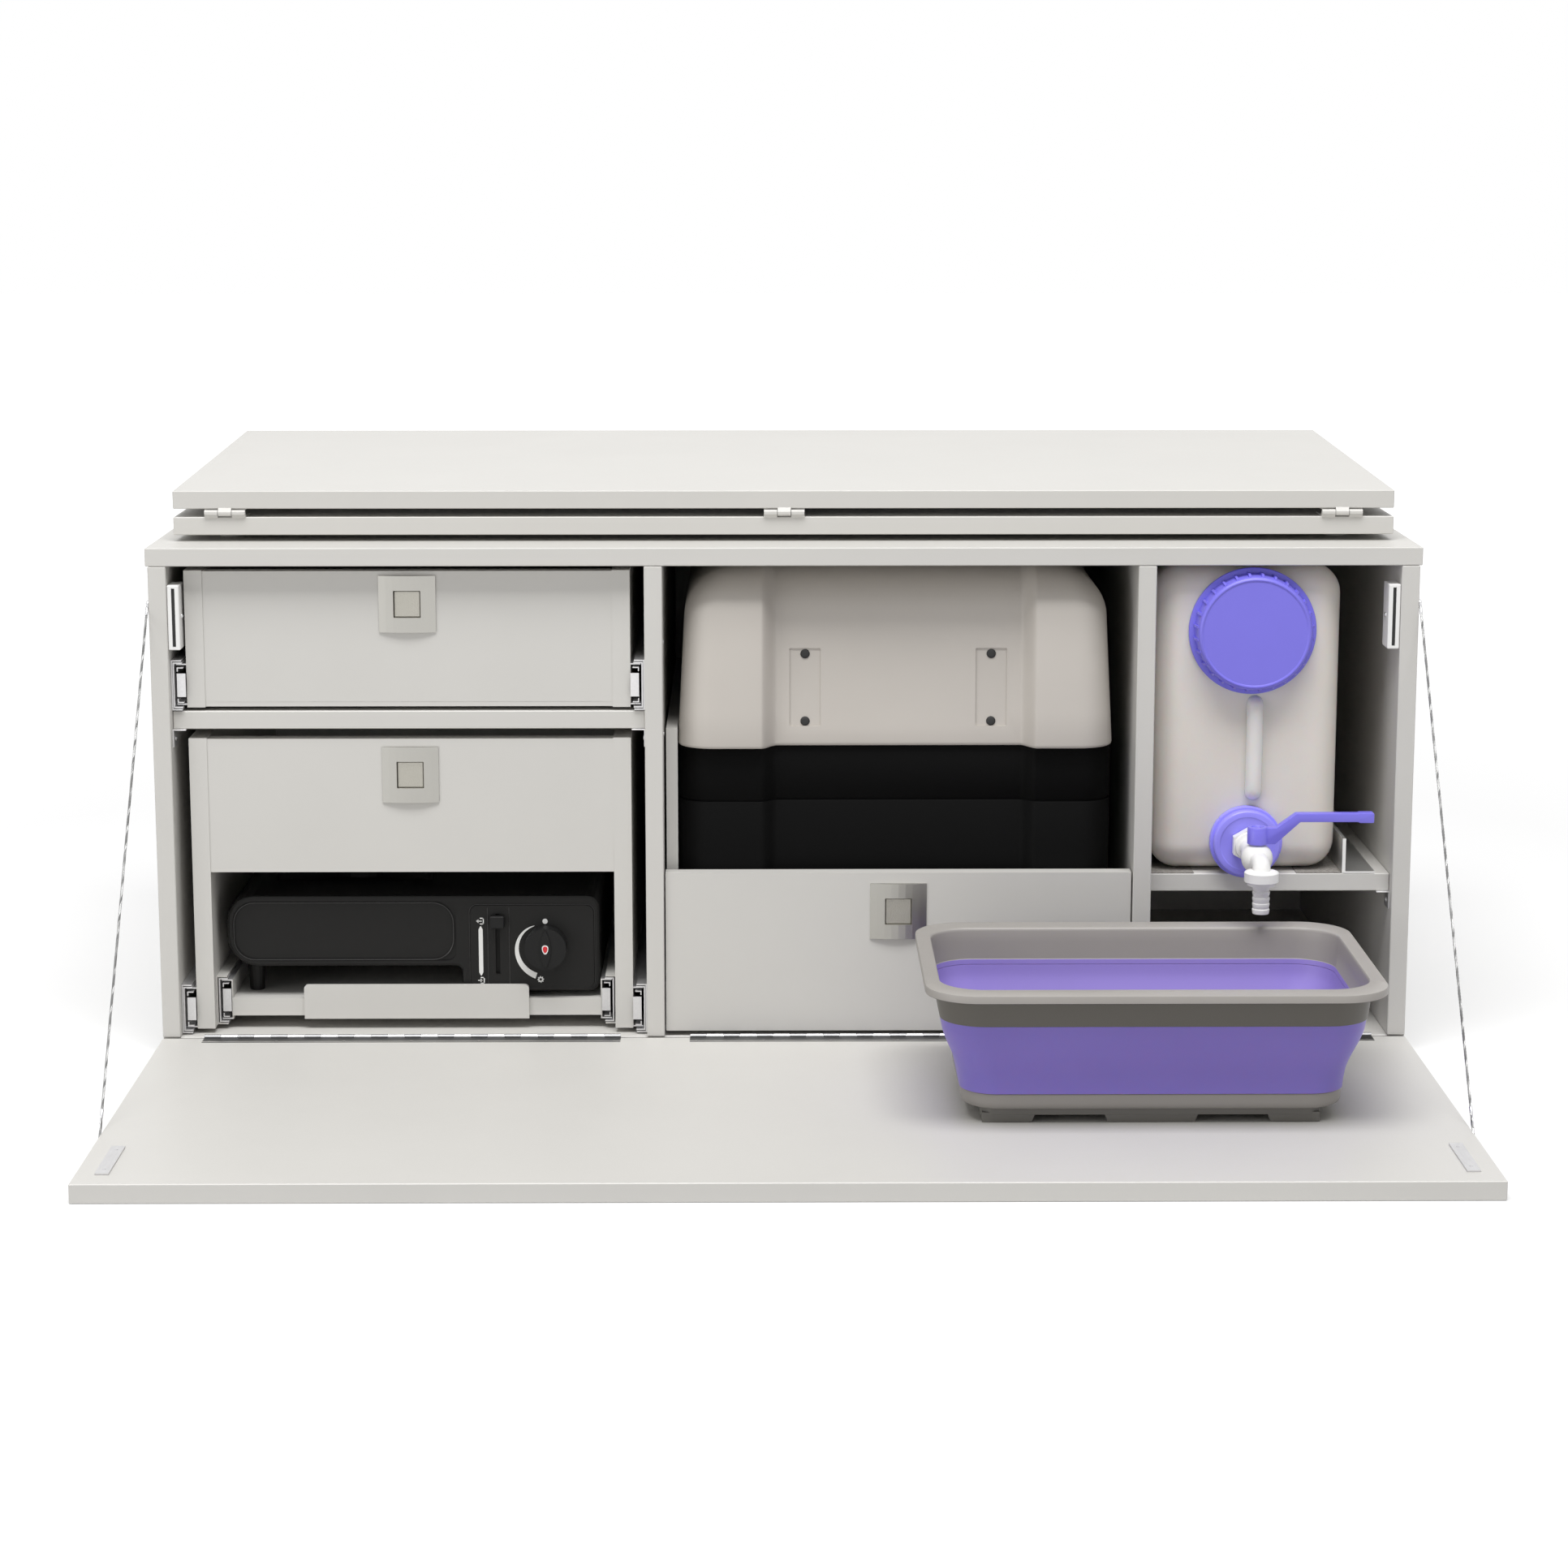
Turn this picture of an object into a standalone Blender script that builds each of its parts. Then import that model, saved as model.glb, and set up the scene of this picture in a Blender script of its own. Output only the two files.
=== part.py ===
"""Campervan kitchen module: a folding cupboard with two drawers, a slide-out cooker, a cool box on a
pull-out, a water can with a tap, a collapsible basin on the open front flap, and a two-leaf bed board
on top. Metres, +Z up, front towards -Y, origin at the centre of the cabinet's underside."""

import math

import bmesh
import bpy
from mathutils import Matrix, Vector
from mathutils.geometry import convex_hull_2d

# Running gap between pieces that seat on each other, and how far joined shapes run into each other
SEAT = 0.0003
BITE = 0.001
OVERRUN = 0.01

# Cabinet: three bays between four upright boards
BOARD = 0.016
CABINET_D = 0.520
OPENING_H = 0.427
LEFT_BAY_W = 0.420
MIDDLE_BAY_W = 0.420
RIGHT_BAY_W = 0.216
TOP_LIP = 0.002
BACK_T = 0.008
EDGE_R = 0.0007
SHELF_RECESS = 0.013
DRAWER_SHELF_Z = 0.296
WATER_SHELF_Z = 0.147

CABINET_W = LEFT_BAY_W + MIDDLE_BAY_W + RIGHT_BAY_W + 4 * BOARD
FRONT = -CABINET_D / 2
BACK = CABINET_D / 2
INNER_BACK = BACK - BACK_T
SIDE = CABINET_W / 2
INNER_SIDE = SIDE - BOARD
FLOOR = BOARD
CEILING = FLOOR + OPENING_H
TOP = CEILING + BOARD
LEFT_PARTITION = (-INNER_SIDE + LEFT_BAY_W, -INNER_SIDE + LEFT_BAY_W + BOARD)
RIGHT_PARTITION = (LEFT_PARTITION[1] + MIDDLE_BAY_W, LEFT_PARTITION[1] + MIDDLE_BAY_W + BOARD)
DRAWER_SHELF = (DRAWER_SHELF_Z, DRAWER_SHELF_Z + BOARD)
WATER_SHELF = (WATER_SHELF_Z, WATER_SHELF_Z + BOARD)

# Front flap and its two piano hinges: the axis lies a little above the boards
AXIS_RISE = 0.0005
KNUCKLE_R = 0.0025
KNUCKLE_PITCH = 0.015
KNUCKLE_GAP = 0.0004
LEAF_T = 0.0012
LEAF_FOOT = 0.001
PIANO_INSETS = (0.0195, 0.0217, 0.0192, 0.0107)
LEFT_PIANO = (-INNER_SIDE + PIANO_INSETS[0], LEFT_PARTITION[0] - PIANO_INSETS[1])
RIGHT_PIANO = (LEFT_PARTITION[1] + PIANO_INSETS[2], INNER_SIDE - PIANO_INSETS[3])
FLAP_AXIS = (FRONT, FLOOR + AXIS_RISE)
FLAP_REAR = FRONT - KNUCKLE_R
FLAP_L = TOP - FLAP_AXIS[1]
FLAP_FRONT = FRONT - FLAP_L

# Magnet catches inside the side panels, strike plates on the flap, and the two stay cables
CATCH = (0.0105, 0.026, 0.0575)
CATCH_DROP = 0.0457
CATCH_Z = CEILING - CATCH_DROP
CATCH_SLOT = (0.003, 0.003, 0.052)
STRIKE = (0.011, 0.075, 0.0012)
CABLE_R = 0.001
CABLE_OFF = 0.0005
CABLE_INSET = 0.004
CABLE_DROP = 0.034
CABLE_REACH = 0.305
CABLE_TOP = (FRONT + CABLE_INSET, CEILING - CABLE_DROP)
CABLE_FOOT = (FRONT - CABLE_REACH, BOARD / 2)

# Bed: two boards folded on each other, hinged at the front, the pair hinged to the top at the rear
BED_SIDE_INSET = 0.0157
BED_RECESS = 0.051
BED_REAR_INSET = 0.002
LOWER_LIFT = 0.0058
UPPER_LIFT = 0.0074
BED_TILT = 0.0288
BED_HINGE_INSET = 0.0463
BUTT_W = 0.0365
BUTT_R = 0.0029
BUTT_GAP = 0.0005
BUTT_LEAF = (0.0013, 0.028)
BUTT_OUT = 0.0006
REAR_BUTT_R = 0.0024
REAR_BUTT_OUT = 0.0026
BUFFER_R = 0.010
BUFFER_INSET = 0.045
BED_HALF_W = SIDE - BED_SIDE_INSET
BED_D = CABINET_D - BED_RECESS - BED_REAR_INSET
BED_HINGES_X = (BED_HINGE_INSET - BED_HALF_W, 0, BED_HALF_W - BED_HINGE_INSET)
LOWER_BED = (TOP + LOWER_LIFT, TOP + LOWER_LIFT + BOARD)
BED_FRONT = FRONT + BED_RECESS
BED_REAR = BED_FRONT + BED_D
BED_AXIS = (BED_FRONT - BUTT_OUT, LOWER_BED[1] + UPPER_LIFT / 2)
REAR_AXIS = (BACK + REAR_BUTT_OUT, TOP + LOWER_LIFT / 2)

# Telescopic slides: three nested channels of folded sheet, one inside the other
SLIDE_H = 0.045
SLIDE_W = 0.013
SLIDE_RECESS = 0.0105
SLIDE_REAR_GAP = 0.0515
SLIDE_FRONT = FRONT + SLIDE_RECESS
SLIDE_L = INNER_BACK - SLIDE_REAR_GAP - SLIDE_FRONT
SHEET = 0.0012
OUTER_LIP = 0.0095
MIDDLE_OFF = 0.0018
MIDDLE_LIP = 0.0100
MIDDLE_STEP = 0.0020
INNER_STEP = 0.0020
INNER_LIP = 0.0040
SLIDE_LIFT = 0.0015
UPPER_SLIDE_Z = DRAWER_SHELF[1] + SLIDE_LIFT - SEAT
LOW_SLIDE_Z = FLOOR + SLIDE_LIFT
TRAY_SLIDE_RECESS = 0.031
TRAY_SLIDE_REAR_GAP = 0.081
TRAY_SLIDE_FRONT = FRONT + TRAY_SLIDE_RECESS
TRAY_SLIDE_L = INNER_BACK - TRAY_SLIDE_REAR_GAP - TRAY_SLIDE_FRONT

# Upper drawer and the box that carries the cooker's tray
DRAWER_RECESS = 0.0155
FACE_INSET = 0.0008
DRAWER_REAR_GAP = 0.0345
DRAWER_FLOOR_T = 0.005
DRAWER_LIFT = 0.003
DRAWER_HEADROOM = 0.0055
BOX_LIFT = 0.0045
BOX_HEADROOM = 0.009
COOKER_MOUTH_H = 0.1445
DRAWER_X = (-INNER_SIDE + SLIDE_W, LEFT_PARTITION[0] - SLIDE_W)
DRAWER_FRONT = FRONT + DRAWER_RECESS
DRAWER_D = INNER_BACK - DRAWER_REAR_GAP - DRAWER_FRONT
UPPER_DRAWER_Z = (DRAWER_SHELF[1] + DRAWER_LIFT, CEILING - DRAWER_HEADROOM)
COOKER_BOX_Z = (FLOOR + BOX_LIFT, DRAWER_SHELF[0] - BOX_HEADROOM)
COOKER_FACE_Z = COOKER_BOX_Z[0] + COOKER_MOUTH_H

# Push locks: a square plate that bulges forward, and a square button in it that pops out
LOCK_PLATE = 0.0505
LOCK_BUTTON = 0.0233
LOCK_HOLE = 0.0240
LOCK_EDGE_T = 0.0009
LOCK_BULGE = 0.0026
LOCK_PROUD = 0.0013
LOCK_DEPTH = 0.012
LOCK_STEPS = 8
LOCK_DROPS = (0.0300, 0.0330, 0.0350)
UPPER_LOCK = ((DRAWER_X[0] + DRAWER_X[1]) / 2, UPPER_DRAWER_Z[1] - LOCK_DROPS[0])
COOKER_LOCK = ((DRAWER_X[0] + DRAWER_X[1]) / 2, COOKER_BOX_Z[1] - LOCK_DROPS[1])

# Cooker tray and the portable cooker on it
TRAY_T = 0.016
TRAY_LIFT = 0.0075
TRAY_RECESS = 0.0335
TRAY_REAR_GAP = 0.0835
TRAY_LIP = (0.204, 0.0315, 0.003)
TRAY_LIP_DROP = 0.0025
TRAY_LIP_R = 0.0035
TRAY_SLIDE_Z = COOKER_BOX_Z[0]
TRAY_FRONT = FRONT + TRAY_RECESS
TRAY_D = INNER_BACK - TRAY_REAR_GAP - TRAY_FRONT
TRAY_BOTTOM = TRAY_SLIDE_Z + TRAY_LIFT
TRAY_TOP = TRAY_BOTTOM + TRAY_T

COOKER_GAPS = (0.0257, 0.0304)
COOKER_D = 0.275
COOKER_RECESS = 0.0375
COOKER_H = 0.0943
COOKER_BELLY_H = 0.0288
COOKER_BLOCK_H = 0.0052
COOKER_BLOCK_W = 0.1252
COOKER_RADII = (0.028, 0.006, 0.009, 0.010, 0.011, 0.024)
COOKER_EDGE_R = 0.0025
COOKER_FOOT = (0.0082, 0.0068)
COOKER_FOOT_INSETS = (0.0215, 0.033)
COOKER_X = (DRAWER_X[0] + COOKER_GAPS[0], DRAWER_X[1] - COOKER_GAPS[1])
COOKER_FRONT = FRONT + COOKER_RECESS
COOKER_REAR = COOKER_FRONT + COOKER_D
COOKER_TOP = TRAY_TOP + COOKER_H
COOKER_LOW_Z = TRAY_TOP + COOKER_BELLY_H
COOKER_BLOCK_Z = TRAY_TOP + COOKER_BLOCK_H
COOKER_BLOCK_X = COOKER_X[1] - COOKER_BLOCK_W
RIM_BORDER = 0.0052
FACE_SINK = 0.0016
FACE_RADII = (0.0215, 0.008, 0.008, 0.0185)
CONTROL_INSETS = (0.0078, 0.0055, 0.0030, 0.0087)
CONTROL_PROUD = 0.0014
CONTROL_R = 0.007
KNOB = (COOKER_X[1] - 0.0487, TRAY_TOP + 0.0484)
KNOB_R = 0.019
KNOB_T = 0.016
KNOB_RIDGE = 0.0050
KNOB_RIDGE_PROUD = 0.0012
LEVER_SLOT = (0.0906, 0.0040, 0.0216, 0.0562, 0.005)
LEVER_HEAD = (0.0130, 0.008, 0.0112)
LEVER_TOP_GAP = 0.001
LEVER_SIDE_GAP = 0.0005
LEVER_NECK = 0.0015
DRIP_R = 0.086
DRIP_DEPTH = 0.006
BURNER_R = 0.032
BURNER_T = 0.012
GRATE_BAR = (0.070, 0.005, 0.012)
GRATE_IN = 0.028

# Pull-out for the cool box, with the cool box on it
FRIDGE_GAP = 0.0013
FRIDGE_RECESS = 0.0045
FRIDGE_FACE_H = 0.1455
FRIDGE_REAR_GAP = 0.0575
BOARD_LIFT = 0.001
CHEEK_H = 0.2295
CHEEK_RECESS = 0.030
FRIDGE_FRONT = FRONT + FRIDGE_RECESS
FRIDGE_REAR = INNER_BACK - FRIDGE_REAR_GAP
FRIDGE_FACE_Z = (FLOOR + BOX_LIFT, FLOOR + BOX_LIFT + FRIDGE_FACE_H)
FRIDGE_BOARD_Z = LOW_SLIDE_Z + SLIDE_H + BOARD_LIFT
CHEEK_TOP = FRIDGE_BOARD_Z + CHEEK_H
FRIDGE_LOCK = ((LEFT_PARTITION[1] + RIGHT_PARTITION[0]) / 2, FRIDGE_FACE_Z[1] - LOCK_DROPS[2])

# Cool box: a black body with a seam and a light shell whose front is drawn back between two pads
COOLER_GAPS = (0.0125, 0.0175)
COOLER_RECESS = 0.024
COOLER_REAR_GAP = 0.056
COOLER_CORNER_R = 0.030
COOLER_SEAM_H = 0.1472
COOLER_BODY_H = 0.1972
COOLER_HEADROOM = 0.006
COOLER_SEAM = (0.0012, 0.0016)
SHELL_RECESS = 0.012
SHELL_DRAW = 0.0070
SHELL_FOOT_R = 0.003
SHELL_ROUND = (0.034, 0.022)
SHELL_ROUND_STEPS = 5
PAD_W = (0.0742, 0.0685)
PAD_DEPTH = (0.018, 0.010)
PAD_SLANT = 0.0150
PAD_STEPS = 4
PLUG_PLATE = (0.028, 0.070, 0.0009)
PLUG_PLATES_X = (-0.081, 0.0855)
PLUG_PLATE_H = 0.0530
COOLER_X = (LEFT_PARTITION[1] + COOLER_GAPS[0], RIGHT_PARTITION[0] - COOLER_GAPS[1])
COOLER_FOOT = FRIDGE_BOARD_Z + BOARD + SEAT
COOLER_REAR = INNER_BACK - COOLER_REAR_GAP
SHELL_Z = (COOLER_FOOT + COOLER_BODY_H, CEILING - COOLER_HEADROOM)

# Water can on its shelf, with its screw cap, collar and tap
CAN_GAPS = (0.0010, 0.0045)
CAN_RECESS = 0.017
CAN_REAR_GAP = 0.127
CAN_LIFT = 0.0009
CAN_HEADROOM = 0.003
CAN_R = 0.026
GUIDE_INSET = 0.0430
GUIDE_SHEET = 0.0030
GUIDE_H = 0.0315
GUIDE_FLANGE = 0.0295
GUIDE_REAR_GAP = 0.049
GUIDE_X = INNER_SIDE - GUIDE_INSET
CAN_X = (RIGHT_PARTITION[1] + CAN_GAPS[0], GUIDE_X - CAN_GAPS[1])
CAN_MIDDLE = (CAN_X[0] + CAN_X[1]) / 2
CAN_FRONT = FRONT + CAN_RECESS
CAN_REAR = INNER_BACK - CAN_REAR_GAP
CAN_BOTTOM = WATER_SHELF[1] + CAN_LIFT
CAN_TOP = CEILING - CAN_HEADROOM
CAP_SHIFT = 0.0027
CAP_DROP = 0.057
CAP_CENTRE = (CAN_MIDDLE + CAP_SHIFT, CAN_TOP - CAP_DROP)
CAP_RING_R = 0.0567
CAP_RING_T = 0.004
CAP_R = 0.0520
CAP_T = 0.0235
CAP_DRAFT = 0.0012
CAP_ROUND = 0.003
CAP_RIBS = 24
CAP_RIB = (0.0024, 0.0012)
NECK_R = 0.0465
NECK_L = 0.010
TAP_SHIFT = 0.0009
TAP_LIFT = 0.0294
TAP_X = CAN_MIDDLE + TAP_SHIFT
TAP_Z = WATER_SHELF[1] + TAP_LIFT
TUBE_SHIFT = 0.0067
TUBE_CLEAR = (0.0436, 0.0650)
TUBE_R = 0.0075
TUBE_PROUD = 0.0025
LEVEL_TUBE = (CAN_MIDDLE + TUBE_SHIFT, TAP_Z + TUBE_CLEAR[0], CAP_CENTRE[1] - TUBE_CLEAR[1])
COLLAR_R = 0.0325
TAP_CHANNEL = (0.0005, 0.112)
COLLAR_T = 0.0155
COLLAR_FLANGE_T = 0.0075
COLLAR_FACE_R = 0.0300
TAP_SHAFT_R = 0.009
TAP_HEX = 0.0155
TAP_HEX_T = 0.0090
TAP_BALL_R = 0.0138
TAP_BALL_OUT = 0.0767
SPOUT_OUT = 0.1065
SPOUT_R = 0.0077
SPOUT_NUT_R = 0.0149
SPOUT_NUT = (0.0056, 0.0092, 0.0028)
BARB_R = 0.0074
BARB_DROP = 0.0428
BARB_RINGS = 4
BARB_CORE_SHARE = 0.86
BARB_RING_SHARE = 0.72
TAP_STEM_R = 0.0055
TAP_STEM_H = 0.0205
HUB_R = 0.0090
HUB_H = (0.0130, 0.0280)
LEVER_LONG = 0.1011
LEVER_T = 0.0080
LEVER_W = 0.0095
LEVER_ROOT = (0.0150, 0.0157, 0.0410)
LEVER_BEND = (0.0332, 0.0366)
LEVER_TIP = (0.0135, 0.0009)
LEVER_CUT = 0.0014

# Collapsible basin that stands on the open flap
BASIN_INSETS = (0.259, 0.255)
BASIN_X = SIDE - BASIN_INSETS[0]
BASIN_Y = FLAP_FRONT + BASIN_INSETS[1]
BASIN_BASE = (0.315, 0.185)
BASIN_BASE_Z = (FLOOR + 0.0127, FLOOR + 0.0266)
BASIN_R = 0.030
BASE_ROUND = 0.005
FOOT_STRIP = (0.008, 0.0060)
FEET_X = (-0.1215, 0, 0.1195)
FOOT_W = (0.043, 0.072, 0.043)
FOOT_D = 0.034
FOOT_FLARE = 0.0015
WALL_TOP = FLOOR + 0.082
WALL_T = 0.0022
WALL_STEPS = (
    (0.0010, 0), (0.0016, 0.12), (0.0034, 0.30), (0.0072, 0.48), (0.0124, 0.68), (0.0158, 0.84), (0.0175, 1),
)
BAND_T = 0.0025
BAND_OUT = 0.0180
BAND_LEAN = 0.0040
RIM_OUT = 0.0360
RIM_TOP = FLOOR + 0.120
RIM_LIP = 0.0060

EIGHTHS = [(0.5 + step) * math.pi / 4 for step in range(8)]
LENS_STEPS = [step / 4 - 1 for step in range(8)]
CORNER_STEPS = 5
EDGE_SHARE = 0.3
TAB_SHARE = 0.1
HELPERS = "construction helpers"
PARTS = "campervan kitchen module"

# Colour, roughness and metallic value of each finish
FINISHES = {
    "board": ((0.58, 0.56, 0.52), 0.55, 0.0),
    "steel": ((0.62, 0.62, 0.62), 0.32, 1.0),
    "nickel": ((0.66, 0.64, 0.60), 0.35, 1.0),
    "zinc": ((0.70, 0.71, 0.72), 0.38, 1.0),
    "aluminium": ((0.75, 0.75, 0.74), 0.35, 1.0),
    "white plastic": ((0.86, 0.86, 0.84), 0.4, 0.0),
    "black plastic": ((0.018, 0.017, 0.016), 0.45, 0.0),
    "dark enamel": ((0.022, 0.021, 0.020), 0.35, 0.0),
    "cooler grey": ((0.50, 0.48, 0.44), 0.5, 0.0),
    "cooler dark": ((0.014, 0.014, 0.014), 0.5, 0.0),
    "can plastic": ((0.66, 0.63, 0.58), 0.42, 0.0),
    "violet plastic": ((0.20, 0.17, 0.72), 0.35, 0.0),
    "violet silicone": ((0.19, 0.15, 0.42), 0.4, 0.0),
    "basin grey": ((0.30, 0.28, 0.26), 0.5, 0.0),
    "cable": ((0.66, 0.66, 0.66), 0.4, 1.0),
    "black rubber": ((0.02, 0.02, 0.02), 0.8, 0.0),
}


def clear_scene():
    for obj in list(bpy.data.objects):
        bpy.data.objects.remove(obj)


def collection(name):
    found = bpy.data.collections.get(name)
    if found is None:
        found = bpy.data.collections.new(name)
        bpy.context.scene.collection.children.link(found)
    return found


def finish(obj, look):
    """Gives the object its own material in one of the finishes."""
    colour, roughness, metallic = FINISHES[look]
    made = bpy.data.materials.new(obj.name + " " + look)
    made.use_nodes = True
    shader = made.node_tree.nodes["Principled BSDF"]
    shader.inputs["Base Color"].default_value = (*colour, 1)
    shader.inputs["Roughness"].default_value = roughness
    shader.inputs["Metallic"].default_value = metallic
    made.diffuse_color = (*colour, 1)
    obj.data.materials.clear()
    obj.data.materials.append(made)
    return obj


def add(name, mesh, group=PARTS):
    obj = bpy.data.objects.new(name, mesh)
    collection(group).objects.link(obj)
    return obj


def from_bmesh(name, shape):
    bmesh.ops.recalc_face_normals(shape, faces=shape.faces)
    mesh = bpy.data.meshes.new(name)
    shape.to_mesh(mesh)
    shape.free()
    return add(name, mesh)


def box(name, x, y, z):
    """A block between the low and high value along each axis."""
    low = Vector((min(x), min(y), min(z)))
    high = Vector((max(x), max(y), max(z)))
    shape = bmesh.new()
    bmesh.ops.create_cube(shape, size=1)
    for vert in shape.verts:
        vert.co = (low + high) / 2 + vert.co * (high - low)
    return from_bmesh(name, shape)


def bevel(obj, radius, segments=1, only=None):
    """Rounds the edges of a block; only= picks the edges along one axis, and runs before Booleans."""
    shape = bmesh.new()
    shape.from_mesh(obj.data)
    edges = shape.edges[:]
    if only is not None:
        runs = [(edge.verts[0].co - edge.verts[1].co).normalized() for edge in edges]
        edges = [edge for edge, run in zip(edges, runs) if round(abs(run[only])) == 1]
    bmesh.ops.bevel(
        shape, geom=edges, offset=radius, segments=segments, profile=0.5, affect="EDGES", clamp_overlap=True
    )
    shape.to_mesh(obj.data)
    shape.free()
    return obj


def board(name, x, y, z):
    """A coated board with its small edge radius."""
    return finish(bevel(box(name, x, y, z), EDGE_R), "board")


def turn(axis):
    """The rotation that takes +Z to the named axis."""
    return {
        "x": Matrix.Rotation(math.pi / 2, 4, "Y"),
        "y": Matrix.Rotation(math.pi / 2, 4, "X"),
        "z": Matrix.Identity(4),
    }[axis]


def cylinder(name, axis, centre, radius, low, high, sides=24, end_radius=None):
    """A round bar or cone along an axis from low to high, centred on the other two axes."""
    shape = bmesh.new()
    bmesh.ops.create_cone(
        shape, cap_ends=True, segments=sides, radius1=radius,
        radius2=radius if end_radius is None else end_radius, depth=high - low,
    )
    middle = (low + high) / 2
    place = {
        "x": Vector((middle, centre[0], centre[1])),
        "y": Vector((centre[0], middle, centre[1])),
        "z": Vector((centre[0], centre[1], middle)),
    }[axis]
    bmesh.ops.transform(shape, matrix=Matrix.Translation(place) @ turn(axis), verts=shape.verts)
    return from_bmesh(name, shape)


def ball(name, centre, radius, rings=10, sides=18):
    shape = bmesh.new()
    bmesh.ops.create_uvsphere(shape, u_segments=sides, v_segments=rings, radius=radius)
    bmesh.ops.translate(shape, vec=centre, verts=shape.verts)
    return from_bmesh(name, shape)


def to_mesh(obj):
    """The object's evaluated shape as a mesh object of the same name, with its caps welded."""
    graph = bpy.context.evaluated_depsgraph_get()
    mesh = bpy.data.meshes.new_from_object(obj.evaluated_get(graph))
    place = obj.matrix_world.copy()
    name = obj.name
    bpy.data.objects.remove(obj)
    shape = bmesh.new()
    shape.from_mesh(mesh)
    bmesh.ops.remove_doubles(shape, verts=shape.verts, dist=BITE / 100)
    bmesh.ops.recalc_face_normals(shape, faces=shape.faces)
    shape.to_mesh(mesh)
    shape.free()
    made = add(name, mesh)
    made.matrix_world = place
    return made


def plate(name, outline, axis, low, high):
    """A flat outline drawn across the axis and extruded along it from low to high.

    Across x the outline is (y, z), across y it is (x, z) and across z it is (x, y)."""
    curve = bpy.data.curves.new(name, "CURVE")
    curve.dimensions = "2D"
    curve.fill_mode = "BOTH"
    curve.extrude = (high - low) / 2
    spline = curve.splines.new("POLY")
    spline.points.add(len(outline) - 1)
    for point, (u, v) in zip(spline.points, outline):
        point.co = (u, v, 0, 1)
    spline.use_cyclic_u = True
    obj = add(name, curve)
    middle = (low + high) / 2
    obj.matrix_world = {
        "x": Matrix(((0, 0, 1, middle), (1, 0, 0, 0), (0, 1, 0, 0), (0, 0, 0, 1))),
        "y": Matrix(((1, 0, 0, 0), (0, 0, -1, middle), (0, 1, 0, 0), (0, 0, 0, 1))),
        "z": Matrix(((1, 0, 0, 0), (0, 1, 0, 0), (0, 0, 1, middle), (0, 0, 0, 1))),
    }[axis]
    bpy.context.view_layer.update()
    return to_mesh(obj)


def rounded(u, v, radii, steps=4, corners=(True, True, True, True)):
    """A rectangle's outline with round corners, counted from the low corner anticlockwise."""
    places = ((u[0], v[0]), (u[1], v[0]), (u[1], v[1]), (u[0], v[1]))
    inward = ((1, 1), (-1, 1), (-1, -1), (1, -1))
    radii = radii if isinstance(radii, tuple) else (radii,) * 4
    outline = []
    for index, ((cu, cv), (iu, iv), radius) in enumerate(zip(places, inward, radii)):
        if not corners[index]:
            outline.append((cu, cv))
            continue
        for step in range(steps + 1):
            angle = math.pi + (index + step / steps) * math.pi / 2
            centre = (cu + iu * radius, cv + iv * radius)
            outline.append((centre[0] + radius * math.cos(angle), centre[1] + radius * math.sin(angle)))
    return outline


def combine(obj, tool, operation):
    """Joins or cuts with another object, which then becomes a helper."""
    modifier = obj.modifiers.new(operation.lower() + " " + tool.name, "BOOLEAN")
    modifier.operation = operation
    modifier.object = tool
    for group in list(tool.users_collection):
        group.objects.unlink(tool)
    collection(HELPERS).objects.link(tool)
    tool.hide_render = True
    tool.display_type = "WIRE"
    return obj


def join(obj, *tools):
    for tool in tools:
        combine(obj, tool, "UNION")
    return obj


def cut(obj, *tools):
    for tool in tools:
        combine(obj, tool, "DIFFERENCE")
    return obj


def smooth(obj, angle=0.7):
    obj.data.shade_smooth()
    obj.data.set_sharp_from_angle(angle=angle)
    return obj


def loft(name, rings):
    """A solid through rings of equally many points, closed by a flat cap at either end."""
    shape = bmesh.new()
    levels = [[shape.verts.new(point) for point in ring] for ring in rings]
    for ring, following in zip(levels, levels[1:]):
        for i, vert in enumerate(ring):
            j = (i + 1) % len(ring)
            shape.faces.new((vert, ring[j], following[j], following[i]))
    shape.faces.new(levels[0][::-1])
    shape.faces.new(levels[-1])
    return from_bmesh(name, shape)


def swept_ring(name, profile, half, radius, centre, steps=6):
    """A closed profile of (outward offset, height) swept round a rounded rectangle."""
    shape = bmesh.new()
    rings = []
    for offset, height in profile:
        x = (centre[0] - half[0] - offset, centre[0] + half[0] + offset)
        y = (centre[1] - half[1] - offset, centre[1] + half[1] + offset)
        outline = rounded(x, y, radius + offset, steps)
        rings.append([shape.verts.new((u, v, height)) for u, v in outline])
    for ring, following in zip(rings, rings[1:] + rings[:1]):
        for i, vert in enumerate(ring):
            j = (i + 1) % len(ring)
            shape.faces.new((vert, ring[j], following[j], following[i]))
    return from_bmesh(name, shape)


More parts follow.
